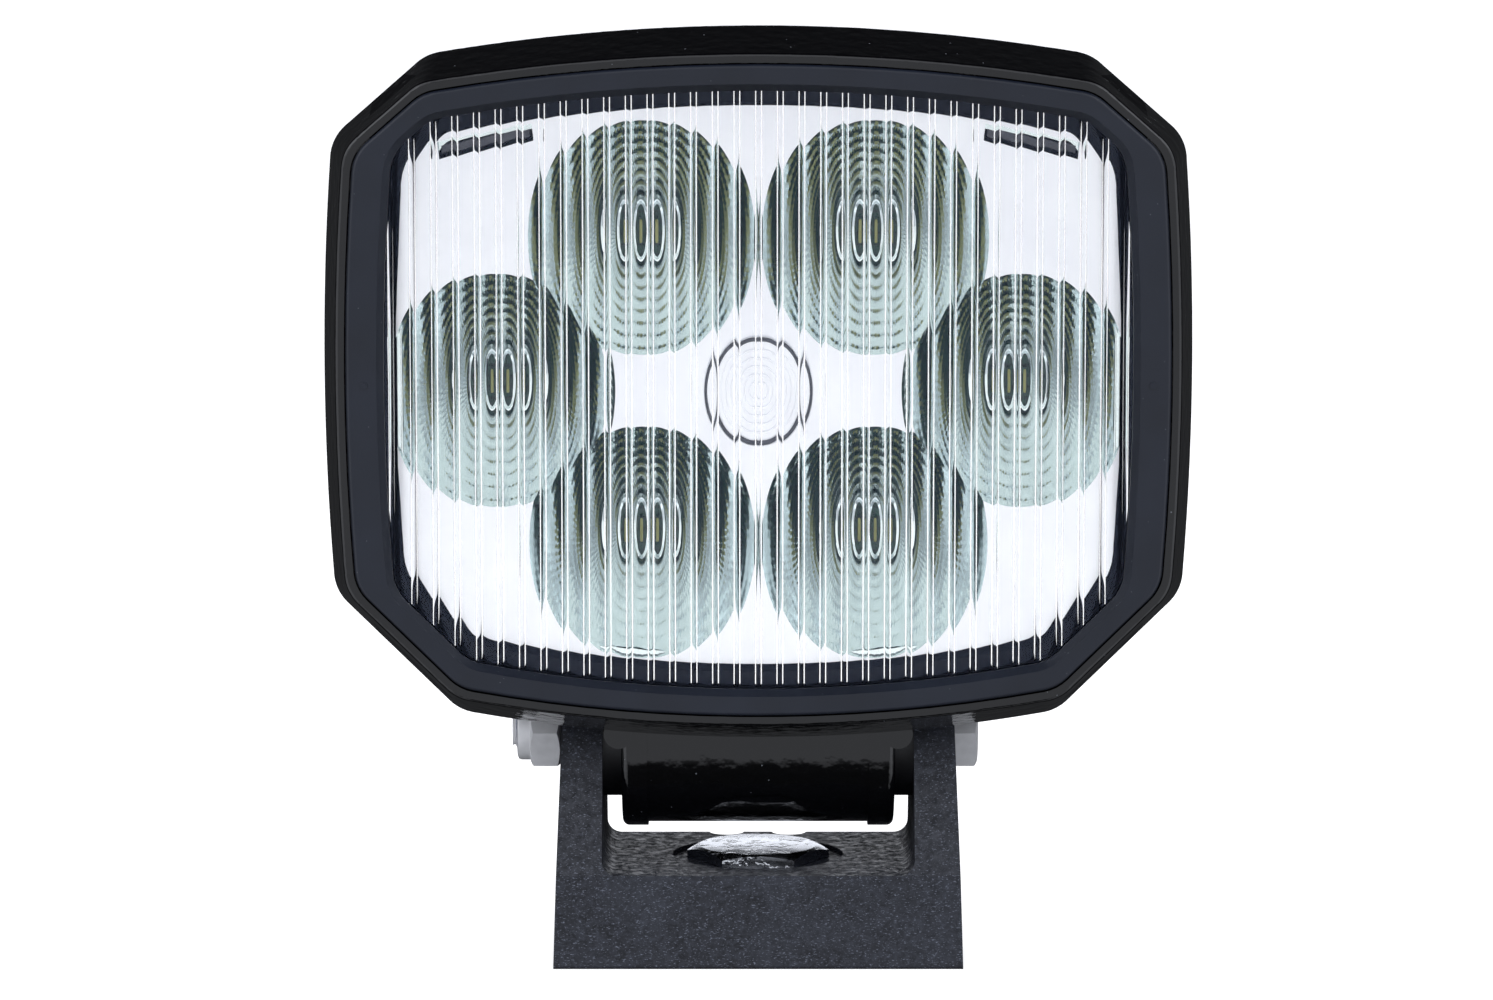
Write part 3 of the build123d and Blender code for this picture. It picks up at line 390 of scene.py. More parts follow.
def plain_plastic(name, dark, light, rough, grain=0.3 * MM, depth=0.01 * MM, **uniform):
    """Moulded plastic or rubber between two tones."""
    s = Shader(name, **uniform)
    fine = s.noise(grain, 3.0, 0.6)
    cloud = s.noise(5 * MM, 3.0)
    s.colour(s.colours(cloud, (0.3, dark), (0.7, light)))
    s.roughness(s.ramp(fine, 0.3, 0.7, rough - 0.06, rough + 0.06))
    s.bump(fine, depth)
    return s.material


def board_green():
    """Green solder mask over copper, with the traces just showing through."""
    s = Shader("board_green", Specular_IOR_Level=0.5)
    brick = s.node("TexBrick", offset=0.5)
    brick.inputs["Scale"].default_value = 1 / (6 * MM)
    brick.inputs["Mortar Size"].default_value = 0.035
    brick.inputs["Mortar Smooth"].default_value = 0.2
    swap = s.node("Mapping")
    swap.inputs["Rotation"].default_value = (math.radians(90), 0, 0)
    s.link(s.place, swap.inputs["Vector"])
    s.link(swap.outputs[0], brick.inputs["Vector"])
    base = s.colours(s.noise(4 * MM), (0.3, (0.010, 0.055, 0.036)), (0.7, (0.016, 0.075, 0.048)))
    s.colour(s.mix(brick.outputs["Fac"], base, (0.006, 0.032, 0.022)))
    s.roughness(s.ramp(s.noise(1 * MM), 0.3, 0.7, 0.25, 0.36))
    s.bump(brick.outputs["Fac"], -0.02 * MM)
    return s.material


MATERIALS = {
    "powder_coat": powder_coat(),
    "bezel_plastic": bezel_plastic(),
    "bracket_plastic": bracket_plastic(),
    "clear_lens": clear_lens(),
    "metallised": metallised(),
    "satin_metallised": satin_metallised(),
    "stainless": metal("stainless", (0.66, 0.67, 0.70), 0.24),
    "zinc_steel": metal("zinc_steel", (0.72, 0.74, 0.78), 0.17, dents=0.10 * MM),
    "satin_steel": metal("satin_steel", (0.96, 0.96, 0.97), 0.50, metallic=0.25),
    "carrier_green": plain_plastic("carrier_green", (0.010, 0.045, 0.032), (0.020, 0.070, 0.050), 0.40),
    "ring_grey": plain_plastic("ring_grey", (0.075, 0.08, 0.095), (0.10, 0.105, 0.125), 0.45),
    "board_green": board_green(),
    "phosphor": plain_plastic("phosphor", (0.34, 0.34, 0.12), (0.44, 0.43, 0.17), 0.40),
    "black_plastic": plain_plastic("black_plastic", (0.010, 0.010, 0.012), (0.018, 0.018, 0.020), 0.42),
    "seal_rubber": plain_plastic(
        "seal_rubber", (0.002, 0.0025, 0.005), (0.004, 0.005, 0.009), 0.62,
        0.5 * MM, 0.02 * MM, Specular_IOR_Level=0.15,
    ),
    "pad_grey": plain_plastic("pad_grey", (0.30, 0.31, 0.33), (0.38, 0.39, 0.41), 0.75, 0.6 * MM, 0.03 * MM),
    "nylon": plain_plastic("nylon", (0.10, 0.22, 0.55), (0.13, 0.27, 0.62), 0.40),
    "tinned_brass": metal("tinned_brass", (0.80, 0.78, 0.74), 0.28),
    "can_aluminium": metal("can_aluminium", (0.78, 0.79, 0.81), 0.30, 0.15 * MM),
    "ferrite": plain_plastic(
        "ferrite", (0.035, 0.034, 0.036), (0.055, 0.053, 0.055), 0.60, 0.4 * MM, 0.03 * MM
    ),
}

SLOTS = {}                      # the record's material slot of each CAD node
for name, node in NODES.items():
    slot_name = node.material_slots[0].material.name if node.material_slots else "black_plastic"
    SLOTS[name] = slot_name.split(".")[0]
    for holder in node.material_slots:
        holder.material = MATERIALS[SLOTS[name]]

NODES["reflector_clips"].material_slots[0].material = MATERIALS["ring_grey"]

# ---------------------------------------------------------------- lens
LENS_LOW, LENS_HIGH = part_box("lens")
RIDGE_PITCH = 2.86 * MM
RIDGE_WIDTH = 0.9 * MM
RIDGE_RISE = 0.3 * MM
RIDGE_ROOT = 0.3 * MM           # depth of the ridges on the CAD lens
RIDGE_STEPS = 18
PANEL_CURVE = 3.3 * MM          # radius of the hollow panel between two ridges
PANEL_STEPS = 12
LENS_SHARP = 40                 # degrees

ridge_radius = RIDGE_WIDTH ** 2 / (8 * RIDGE_RISE) + RIDGE_RISE / 2


def ridge_stations(left, right):
    """Places across the lens, close together where a ridge curves."""
    lean = math.asin(RIDGE_WIDTH / 2 / ridge_radius)
    ridge = ridge_radius * np.sin(np.linspace(-lean, lean, RIDGE_STEPS + 1))
    panel = np.linspace(RIDGE_WIDTH / 2, RIDGE_PITCH - RIDGE_WIDTH / 2, PANEL_STEPS + 1)
    period = np.concatenate([ridge, panel])
    count = int(right / RIDGE_PITCH) + 1
    xs = np.concatenate([k * RIDGE_PITCH + period for k in range(-count, count + 1)])
    return xs[(xs > left) & (xs < right)]


def ridge_height(xs):
    """Height of the lens's inner face over its root: round ridges between shallow hollows."""
    off_ridge = np.abs((xs + RIDGE_PITCH / 2) % RIDGE_PITCH - RIDGE_PITCH / 2)
    ridge = np.sqrt(np.maximum(ridge_radius ** 2 - off_ridge ** 2, 0)) - (ridge_radius - RIDGE_RISE)
    half_panel = (RIDGE_PITCH - RIDGE_WIDTH) / 2
    off_panel = RIDGE_PITCH / 2 - off_ridge
    panel = (off_panel ** 2 - half_panel ** 2) / (2 * PANEL_CURVE)
    return np.where(off_ridge < RIDGE_WIDTH / 2, ridge, panel)


def make_lens():
    """A flat plate, hollowed and ridged on its inner face within the bezel's opening."""
    back = LENS_HIGH.y
    root = back - RIDGE_RISE
    opening = outline_at("lens", back - RIDGE_ROOT)
    edge = outline_at("lens", LENS_LOW.y)
    left = min(x for x, z in opening)
    right = max(x for x, z in opening)
    inside = [x for x, z in opening]
    xs = np.unique(np.round(np.concatenate([ridge_stations(left, right), inside]), 7))
    low, high = edge_heights(opening, xs)
    ys = root + ridge_height(xs)
    build = Build()
    sheet = np.array([[(x, y, z) for x, y, z in zip(xs, ys, zs)] for zs in (low, high)])
    build.grid(sheet, closed=False, caps=False)
    for zs in (low, high):
        wall = np.array([[(x, y, z) for x, z, y in zip(xs, zs, ys)], [(x, back, z) for x, z in zip(xs, zs)]])
        build.grid(wall, closed=False, caps=False)
    rim = [(x, z) for x, z in zip(xs, high)] + [(x, z) for x, z in zip(xs[::-1], low[::-1])][1:-1]
    loops = [[Vector((x, z, 0)) for x, z in edge], [Vector((x, z, 0)) for x, z in rim]]
    flat = [p for loop in loops for p in loop]
    build.add([(p.x, back, p.y) for p in flat], tessellate_polygon(loops))
    ring = np.array([[(x, y, z) for x, z in edge] for y in (LENS_LOW.y, back)])
    build.grid(ring, caps=False)
    build.add([(x, LENS_LOW.y, z) for x, z in edge], [tuple(range(len(edge)))])
    piece("fluted_lens", build, "clear_lens", "head", ["lens"], LENS_SHARP)


make_lens()

# ---------------------------------------------------------------- reflector
MIRROR_LOW, MIRROR_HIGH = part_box("reflector")
MIRROR_FRONT = MIRROR_LOW.y
LED_GROUP = 5 * MM              # vertices this close belong to one LED
BOWLS = clusters("leds", LED_GROUP)     # centres of the bowls, one round each LED
BOWL_RADIUS = 15.6 * MM
BOWL_FOCUS_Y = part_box("leds")[0].y - 1.1 * MM
BOWL_FOOT = MIRROR_HIGH.y - 0.2 * MM
BOWL_BACK = MIRROR_HIGH.y - 0.1 * MM
BOWL_OPENING = (2.9 * MM, 3.6 * MM)     # half size of the oval opening round an LED
COLLAR_RISE = 0.3 * MM          # rise of the shallow cone round that opening
COLLAR_THICK = 0.1 * MM
BACK_RINGS = 8                  # rings on the back of a bowl
BACK_INSET = 0.4 * MM           # the last of them inside the rim
AIM_TILT = math.radians(3.25)   # upward lean of every facet
SHELL = 1.1 * MM
PLATE = 1.5 * MM
FACET_RINGS = 8
FACET_SECTORS = 72
FACET_STEPS = 4
FACET_BULGE = 0.022 * MM
FACET_EDGE = 0.99               # beyond this share of its half size a facet isn't tilted
FACET_SHARP = 7                 # degrees
HUB_RADIUS = 9.6 * MM
BAR_HALF = Vector((18.2 * MM, 4.05 * MM))
RETURN_DEPTH = 4.5 * MM
RETURN_WALL = 1.2 * MM
OPTIC = middle("centre_disc")

bowl_depth = BOWL_FOCUS_Y - MIRROR_FRONT
bowl_focus = (-bowl_depth + math.hypot(bowl_depth, BOWL_RADIUS)) / 2
bowl_apex = BOWL_FOCUS_Y + bowl_focus


def bowl_y(r):
    """Y of a bowl's parabola at this distance from its axis."""
    return bowl_apex - r ** 2 / (4 * bowl_focus)


def bowl_shell():
    """A faceted bowl about the Y axis, as a closed shell."""
    foot = math.sqrt(4 * bowl_focus * (bowl_apex - BOWL_FOOT))
    count = FACET_SECTORS * FACET_STEPS
    rings = FACET_RINGS * FACET_STEPS
    angle = np.arange(count) * 2 * math.pi / count
    points = []
    for i in range(rings + 1):
        share = i / rings
        r = BOWL_RADIUS + (foot - BOWL_RADIUS) * share
        station = share * FACET_RINGS
        row = min(int(station), FACET_RINGS - 1)
        u = (station - row) * 2 - 1
        shift = 0.5 * (row % 2)
        sector, v = np.divmod(np.arange(count) / FACET_STEPS + shift, 1)
        v = v * 2 - 1
        slope = r / (2 * bowl_focus)
        lean = math.hypot(1, slope)
        middle_r = BOWL_RADIUS + (foot - BOWL_RADIUS) * (row + 0.5) / FACET_RINGS
        middle_z = middle_r * np.sin((sector + 0.5 - shift) * 2 * math.pi / FACET_SECTORS)
        off_y = bowl_y(r) - bowl_y(middle_r)
        off_z = r * np.sin(angle) - middle_z
        lift = AIM_TILT * (slope * np.sin(angle) * off_y - off_z) / lean
        inside = (abs(u) < FACET_EDGE) & (np.abs(v) < FACET_EDGE)
        bulge = FACET_BULGE * (1 - u ** 2) * (1 - v ** 2) + np.where(inside, lift, 0)
        radius = r - bulge * slope / lean
        y = bowl_y(r) - bulge / lean
        points.append(np.stack([radius * np.cos(angle), y, radius * np.sin(angle)], 1))
    for y in (BOWL_FOOT - COLLAR_RISE, BOWL_FOOT - COLLAR_RISE + COLLAR_THICK):
        opening = (BOWL_OPENING[0] * np.cos(angle), np.full(count, y), BOWL_OPENING[1] * np.sin(angle))
        points.append(np.stack(opening, 1))
    for r in np.linspace(foot, BOWL_RADIUS - BACK_INSET, BACK_RINGS):
        slope = r / (2 * bowl_focus)
        lean = math.hypot(1, slope)
        radius = np.full(count, r + SHELL * slope / lean)
        y = np.full(count, min(bowl_y(r) + SHELL / lean, BOWL_BACK))
        points.append(np.stack([radius * np.cos(angle), y, radius * np.sin(angle)], 1))
    points.append(points[0])
    return np.array(points)


def add_bowls(bm):
    """Six bowls, each cut where it meets its neighbours and the reflector's edge."""
    shell = bowl_shell()
    side = MIRROR_HIGH.x - RETURN_WALL / 2
    for centre in BOWLS:
        build = Build()
        build.grid(shell + np.array((centre[0], 0, centre[1])), caps=False)
        mesh = bpy.data.meshes.new("bowl")
        mesh.from_pydata(build.verts, [], build.faces)
        one = bmesh.new()
        one.from_mesh(mesh)
        bmesh.ops.remove_doubles(one, verts=one.verts, dist=WELD)
        cuts = [((side, 0, 0), (1, 0, 0)), ((-side, 0, 0), (-1, 0, 0))]
        for other in BOWLS:
            gap = other - centre
            if 0 < np.hypot(*gap) < 2 * (BOWL_RADIUS + SHELL):
                half = (other + centre) / 2
                cuts.append(((half[0], 0, half[1]), (gap[0], 0, gap[1])))
        for origin, normal in cuts:
            geometry = one.verts[:] + one.edges[:] + one.faces[:]
            cut = bmesh.ops.bisect_plane(
                one, geom=geometry, plane_co=origin, plane_no=normal, clear_outer=True
            )
            edges = [e for e in cut["geom_cut"] if isinstance(e, bmesh.types.BMEdge)]
            if edges:
                bmesh.ops.holes_fill(one, edges=edges, sides=0)
        one.to_mesh(mesh)
        one.free()
        bm.from_mesh(mesh)
        bpy.data.meshes.remove(mesh)


def in_bowl(x, z):
    """True where a bowl opens through the flat front."""
    return any(math.hypot(x - c[0], z - c[1]) < BOWL_RADIUS for c in BOWLS)


def in_centre(x, z):
    """True on the hub and the bar, which stand in front of the bowls."""
    across = abs(x - OPTIC.x)
    up = abs(z - OPTIC.z)
    return math.hypot(across, up) < HUB_RADIUS or (across < BAR_HALF.x and up < BAR_HALF.y)


SLOT_TURN = math.radians(10.8)
SLOT_HALF = (6.7 * MM, 1.15 * MM)
SLOT_PLACE = (36.4 * MM, 33.2 * MM)     # from the optical centre
CORNERS = ((-1, -1), (1, -1), (1, 1), (-1, 1))
CIRCLE_STEPS = 180
FLAT_FACING = 0.999             # a face of the flat front has a normal this close to Y
FLAT_REACH = 0.01 * MM


def slot_outline(sign):
    """Corners of the slot for a retaining clip, tilted with the top edge."""
    across = Vector((math.cos(SLOT_TURN), -sign * math.sin(SLOT_TURN)))
    up = Vector((sign * math.sin(SLOT_TURN), math.cos(SLOT_TURN)))
    centre = Vector((OPTIC.x + sign * SLOT_PLACE[0], OPTIC.z + SLOT_PLACE[1]))
    return [tuple(centre + a * SLOT_HALF[0] * across + b * SLOT_HALF[1] * up) for a, b in CORNERS]


def in_slot(x, z):
    """True in the slot of either clip."""
    for sign in (-1, 1):
        corners = slot_outline(sign)
        sides = [
            (bx - ax) * (z - az) - (bz - az) * (x - ax) > 0
            for (ax, az), (bx, bz) in zip(corners, corners[1:] + corners[:1])
        ]
        if all(sides):
            return True
    return False


def circle(centre, radius):
    """Points round a circle, as (x, z)."""
    steps = [2 * math.pi * i / CIRCLE_STEPS for i in range(CIRCLE_STEPS)]
    return [(centre[0] + radius * math.cos(a), centre[1] + radius * math.sin(a)) for a in steps]


def flat_plate():
    """Vertices and triangles, in (x, z), of the reflector's flat front."""
    edge = outline_at("reflector", MIRROR_FRONT)
    bar = [(OPTIC.x + a * BAR_HALF.x, OPTIC.z + b * BAR_HALF.y) for a, b in CORNERS]
    loops = [edge, bar, circle((OPTIC.x, OPTIC.z), HUB_RADIUS)]
    loops += [circle(c, BOWL_RADIUS) for c in BOWLS]
    loops += [slot_outline(sign) for sign in (-1, 1)]
    points = []
    edges = []
    for loop in loops:
        start = len(points)
        points += [Vector(p) for p in loop]
        edges += [(start + i, start + (i + 1) % len(loop)) for i in range(len(loop))]
    verts, _, faces, *_ = delaunay_2d_cdt(points, edges, [list(range(len(edge)))], 1, WELD)
    kept = []
    for face in faces:
        x = sum(verts[i].x for i in face) / len(face)
        z = sum(verts[i].y for i in face) / len(face)
        if (not in_bowl(x, z) or in_centre(x, z)) and not in_slot(x, z):
            kept.append(face)
    return verts, kept


def add_plate(bm):
    """The flat front as a plate, closed by walls round each of its edges."""
    verts, faces = flat_plate()
    build = Build()
    used = dict.fromkeys((a, b) for face in faces for a, b in zip(face, face[1:] + face[:1]))
    count = len(verts)
    for y in (MIRROR_FRONT, MIRROR_FRONT + PLATE):
        build.verts += [(v.x, y, v.y) for v in verts]
    build.faces = [tuple(f) for f in faces] + [tuple(i + count for i in reversed(f)) for f in faces]
    for a, b in used:
        if (b, a) not in used:
            build.faces.append((b, a, a + count, b + count))
    add_build(bm, build)


def add_build(bm, build):
    """Add what a Build holds to a bmesh."""
    mesh = bpy.data.meshes.new("part")
    mesh.from_pydata(build.verts, [], build.faces)
    bm.from_mesh(mesh)
    bpy.data.meshes.remove(mesh)


def add_return(bm):
    """Wall that runs back from the reflector's edge."""
    edge = outline_at("reflector", MIRROR_FRONT)
    inner = drawn_in(edge, RETURN_WALL)
    front = MIRROR_FRONT + PLATE / 2
    back = MIRROR_FRONT + RETURN_DEPTH
    rings = [(edge, front), (edge, back), (inner, back), (inner, front), (edge, front)]
    build = Build()
    build.grid(np.array([[(x, y, z) for x, z in loop] for loop, y in rings]), caps=False)
    add_build(bm, build)


def make_reflector():
    """Bowls, flat front and return wall as one mesh, the flat front in a satin finish."""
    bm = bmesh.new()
    add_bowls(bm)
    add_plate(bm)
    add_return(bm)
    bmesh.ops.remove_doubles(bm, verts=bm.verts, dist=PLATE_WELD)
    loose = [v for v in bm.verts if not v.link_faces]
    bmesh.ops.delete(bm, geom=loose, context="VERTS")
    mesh = bpy.data.meshes.new("faceted_reflector")
    bm.to_mesh(mesh)
    bm.free()
    mesh.materials.append(MATERIALS["metallised"])
    mesh.materials.append(MATERIALS["satin_metallised"])
    for face in mesh.polygons:
        if abs(face.normal.y) > FLAT_FACING and abs(face.center.y - MIRROR_FRONT) < FLAT_REACH:
            face.material_index = 1
    put_in_scene("faceted_reflector", mesh, "head", ["reflector"], FACET_SHARP)


make_reflector()

# ---------------------------------------------------------------- LEDs
LED_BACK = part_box("leds")[1].y
LED_HALF = (0.95 * MM, 1.75 * MM)
PHOSPHOR_HALF = (0.75 * MM, 1.6 * MM)
# share of the phosphor's width, and its rise in millimetres, from its foot to its crown
PHOSPHOR_PROFILE = ((1.0, 0.0), (1.0, 0.22), (0.96, 0.34), (0.85, 0.45), (0.6, 0.55), (0.3, 0.6))
OUTLINE_STEPS = 48
LED_SQUARE = 14                 # power of a carrier's outline; higher is squarer
PHOSPHOR_SQUARE = 8
LED_RISE = 2.1 * MM             # front of a carrier above the board, close to the bowl's focus


def squircle(centre, half, power):
    """An outline between an oval and a rectangle."""
    points = []
    for i in range(OUTLINE_STEPS):
        a = 2 * math.pi * i / OUTLINE_STEPS
        c, s = math.cos(a), math.sin(a)
        reach = (abs(c) ** power + abs(s) ** power) ** (-1 / power)
        points.append((centre[0] + half[0] * reach * c, centre[1] + half[1] * reach * s))
    return points


def make_leds():
    """Green carriers and the crowned phosphor on each."""
    base = Build()
    glow = Build()
    top = LED_BACK - LED_RISE
    for centre in BOWLS:
        base.prism(squircle(centre, LED_HALF, LED_SQUARE), top, LED_BACK)
        rings = []
        for wide, rise in PHOSPHOR_PROFILE:
            size = (PHOSPHOR_HALF[0] * wide, PHOSPHOR_HALF[1] * wide)
            y = top - rise * MM
            rings.append([(x, y, z) for x, z in squircle(centre, size, PHOSPHOR_SQUARE)])
        glow.grid(np.array(rings))
    piece("led_phosphor", glow, "phosphor", "head", ["leds"])
    piece("led_carriers", base, "carrier_green", "head")


make_leds()

# ---------------------------------------------------------------- centre disc
DISC_LOW, DISC_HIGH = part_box("centre_disc")
DISC_RADIUS = (DISC_HIGH.x - DISC_LOW.x) / 2
DISC_STEM = 2.5 * MM
RING_OUTER = DISC_RADIUS - 0.12 * MM
RING_INNER = DISC_RADIUS - 0.66 * MM
RING_STEP = 0.02 * MM           # slope of the groove's outer wall
DISC_FLOOR = 0.5 * MM           # floor of the disc behind its edge
DISC_EDGE = 0.08 * MM           # bevel on that edge
RIB_PITCH = 1.1 * MM
RIB_RISE = 0.3 * MM
RIB_FOOT = 0.16 * MM            # half widths of a rib
RIB_CREST = 0.08 * MM
AXIS_HOLE = 0.05 * MM           # radius of the first ring, which a cap closes
INLAY_FRONT = 0.05 * MM         # front of the dark ring behind the disc's front
INLAY_SUNK = 0.01 * MM
LATHE_STEPS = 120


def turned(profile):
    """Rings about the optical axis for each (radius, y) of a profile."""
    angle = np.arange(LATHE_STEPS) * 2 * math.pi / LATHE_STEPS
    rings = []
    for r, y in profile:
        ring = (OPTIC.x + r * np.cos(angle), np.full(LATHE_STEPS, y), OPTIC.z + r * np.sin(angle))
        rings.append(np.stack(ring, 1))
    return np.array(rings)


def make_disc():
    """A plain disc with plain ring ribs inside a dark ring."""
    front = DISC_LOW.y
    floor = front + DISC_FLOOR
    crest = floor - RIB_RISE
    profile = [(AXIS_HOLE, floor)]
    for i in range(1, int(RING_INNER / RIB_PITCH)):
        r = i * RIB_PITCH
        profile += [(r - RIB_FOOT, floor), (r - RIB_CREST, crest)]
        profile += [(r + RIB_CREST, crest), (r + RIB_FOOT, floor)]
    profile += [
        (RING_INNER, floor), (RING_OUTER, floor), (RING_OUTER + RING_STEP, front),
        (DISC_RADIUS, front + DISC_EDGE), (DISC_RADIUS, MIRROR_FRONT),
        (DISC_STEM, MIRROR_FRONT), (DISC_STEM, DISC_HIGH.y),
    ]
    disc = Build()
    disc.grid(turned(profile))
    piece("ribbed_disc", disc, "satin_metallised", "head", ["centre_disc"])
    top = front + INLAY_FRONT
    foot = floor - INLAY_SUNK
    ring = Build()
    loop = [(RING_INNER, foot), (RING_INNER, top), (RING_OUTER, top), (RING_OUTER, foot)]
    ring.grid(turned(loop + loop[:1]), caps=False)
    piece("disc_ring", ring, "ring_grey", "head")


make_disc()

# ---------------------------------------------------------------- bolts and nut
HEX_STEPS = 96
HEAD_BEVEL = math.tan(math.radians(25))
HEAD_FACE = 0.95                # width of a head's round face, as a share of its flats
HEAD_CENTRE = 0.2 * MM          # radius of the first ring, which a cap closes
HEAD_ROUND = 0.1 * MM
HEAD_LIP = 0.03 * MM            # drop at the edge of the round face
WASHER_FACE = 0.4 * MM
WASHER_BEVEL = 0.15 * MM
BEVEL_SHARES = (0.05, 0.35, 0.7, 1.0)
THREAD_STEPS = 16               # rings along one turn of a thread
THREAD_DEPTH = 0.6              # of the pitch
THREAD_CREST = 1 / 8            # flat crest and flat root, of the pitch
THREAD_ROOT = 1 / 4
THREAD_GAP = 0.01 * MM          # between the last plain ring and the thread

# The M10 bolt and the M6 bolt, radii where nothing else is said
M10_FLATS = 17 * MM             # across flats
M10_HEAD = 6.4 * MM             # height
M10_WAIST = 4.5 * MM            # inside the base
M10_THREAD = 4.95 * MM
M10_PITCH = 1.5 * MM
M10_TIP = 1.0 * MM              # taper at its end
M6_FLATS = 10 * MM              # across flats, of bolt and nut
M6_HEAD = 4.0 * MM
M6_RADIUS = 3.0 * MM
M6_PITCH = 1.0 * MM
M6_TIP = 0.5 * MM
M6_THREADED = 18 * MM           # length of the thread

NUT_HEX = 4.2 * MM
NUT_COLLAR = 4.5 * MM
NUT_BORE = 3.05 * MM
NUT_MOUTH = 3.6 * MM            # radius of the opening in front of the nylon ring
NUT_LIP = 0.5 * MM              # rolled edge of the collar
NUT_LIP_MIDDLE = 0.15 * MM
NUT_SPACE = 0.05 * MM           # round the nylon ring
MOUTH_STEP = 0.01 * MM


def hexagon(flats):
    """Distance to the edge of a hexagon at each angle, a corner at angle 0."""
    angle = np.arange(HEX_STEPS) * 2 * math.pi / HEX_STEPS
    off_flat = angle % (math.pi / 3) - math.pi / 6
    return flats / 2 / np.cos(off_flat)


def head_rings(flats, height):
    """Rings of a bevelled hexagon head, from its top down to its washer face at 0."""
    edge = hexagon(flats)
    face = HEAD_FACE * flats / 2
    reach = np.maximum(edge - face, 0)
    rings = [even(HEAD_CENTRE, height), even(face - HEAD_ROUND, height)]
    for share in BEVEL_SHARES:
        rings.append((face + share * reach, height - (share * reach + HEAD_LIP) * HEAD_BEVEL))
    rings.append((edge, np.full(HEX_STEPS, WASHER_FACE + WASHER_BEVEL)))
    rings.append((edge - WASHER_BEVEL, np.full(HEX_STEPS, WASHER_FACE)))
    rings += [even(face, WASHER_FACE), even(face, 0.0)]
    return rings


def thread_rings(radius, pitch, start, end, tip):
    """Rings of a threaded length from one height down to another, with a bevelled tip."""
    angle = np.arange(HEX_STEPS) / HEX_STEPS
    depth = THREAD_DEPTH * pitch
    flank_end = (1 - THREAD_CREST) / 2
    flank = flank_end - THREAD_ROOT / 2
    count = int((start - end) / pitch * THREAD_STEPS)
    rings = []
    for height in np.linspace(start, end, count + 1):
        turn = (height / pitch - angle) % 1
        cut = np.clip((flank_end - np.abs(turn - 0.5)) / flank, 0, 1)
        fade = min(1, (start - height) / pitch)
        limit = radius - tip + (height - end)
        rings.append((np.minimum(radius - depth * cut * fade, limit), np.full(HEX_STEPS, height)))
    return rings


def along(rings, origin, axis):
    """Points of (radius, height) rings about an axis that leaves the origin along X or Z."""
    angle = np.arange(HEX_STEPS) * 2 * math.pi / HEX_STEPS
    points = []
    for radius, height in rings:
        across = radius * np.cos(angle)
        up = radius * np.sin(angle)
        if axis.z:
            ring = np.stack([origin.x + across, origin.y + up, origin.z + axis.z * height], 1)
        else:
            ring = np.stack([origin.x + axis.x * height, origin.y + across, origin.z + up], 1)
        points.append(ring)
    return np.array(points)


def fastener(name, node, rings, origin, axis, material, caps=True):
    """One fastener from its rings, in place of its CAD node."""
    build = Build()
    build.grid(along(rings, origin, axis), caps=caps)
    piece(name, build, material, "bracket", [node])


def even(radius, height):
    """A round ring at one height."""
    return (np.full(HEX_STEPS, radius), np.full(HEX_STEPS, height))


def make_mounting_bolt():
    """M10 bolt: head, thinner shank inside the base, thread below it."""
    low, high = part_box("mounting_bolt")
    seat = high.z - M10_HEAD
    rings = head_rings(M10_FLATS, M10_HEAD) + [even(M10_WAIST, 0), even(M10_WAIST, -seat)]
    rings += thread_rings(M10_THREAD, M10_PITCH, -seat - THREAD_GAP, low.z - seat, M10_TIP)
    origin = Vector((0, 0, seat))
    fastener("threaded_mounting_bolt", "mounting_bolt", rings, origin, Vector((0, 0, 1)), "zinc_steel")


def make_pivot_bolt():
    """M6 bolt along the tilt axis, threaded at its far end."""
    low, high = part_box("pivot_bolt")
    seat = high.x - M6_HEAD
    length = seat - low.x
    plain_end = M6_THREADED - length
    rings = head_rings(M6_FLATS, M6_HEAD) + [even(M6_RADIUS, 0), even(M6_RADIUS, plain_end)]
    rings += thread_rings(M6_RADIUS, M6_PITCH, plain_end - THREAD_GAP, -length, M6_TIP)
    origin = Vector((seat, 0, (low.z + high.z) / 2))
    fastener("threaded_pivot_bolt", "pivot_bolt", rings, origin, Vector((1, 0, 0)), "satin_steel")


def make_pivot_nut():
    """Lock nut: a hexagon with a round collar that holds the nylon ring."""
    low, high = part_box("pivot_nut")
    ring_low, ring_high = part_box("nut_ring")
    edge = hexagon(M6_FLATS)
    face = HEAD_FACE * M6_FLATS / 2
    reach = np.maximum(edge - face, 0)
    height = high.x - low.x
    pocket = (ring_high.z - ring_low.z) / 2 + NUT_SPACE
    inner = high.x - ring_high.x - NUT_SPACE
    outer = high.x - ring_low.x + NUT_SPACE
    mouth = min(outer, height - NUT_SPACE)
    behind = min(outer, height - NUT_SPACE - MOUTH_STEP)
    bevel = reach * HEAD_BEVEL
    middle = NUT_LIP_MIDDLE
    rings = [even(NUT_BORE, 0), even(face, 0), (edge, bevel), (edge, NUT_HEX - bevel)]
    rings += [even(face, NUT_HEX), even(NUT_COLLAR, NUT_HEX + NUT_SPACE), even(NUT_COLLAR, height - NUT_LIP)]
    rings += [even(NUT_COLLAR - middle, height - middle), even(NUT_COLLAR - NUT_LIP, height)]
    rings += [even(NUT_MOUTH, height), even(NUT_MOUTH, mouth), even(pocket, behind)]
    rings += [even(pocket, inner), even(NUT_BORE, inner), even(NUT_BORE, 0)]
    origin = Vector((high.x, 0, (low.z + high.z) / 2))
    fastener("bevelled_lock_nut", "pivot_nut", rings, origin, Vector((-1, 0, 0)), "satin_steel", caps=False)


make_mounting_bolt()
make_pivot_bolt()
make_pivot_nut()

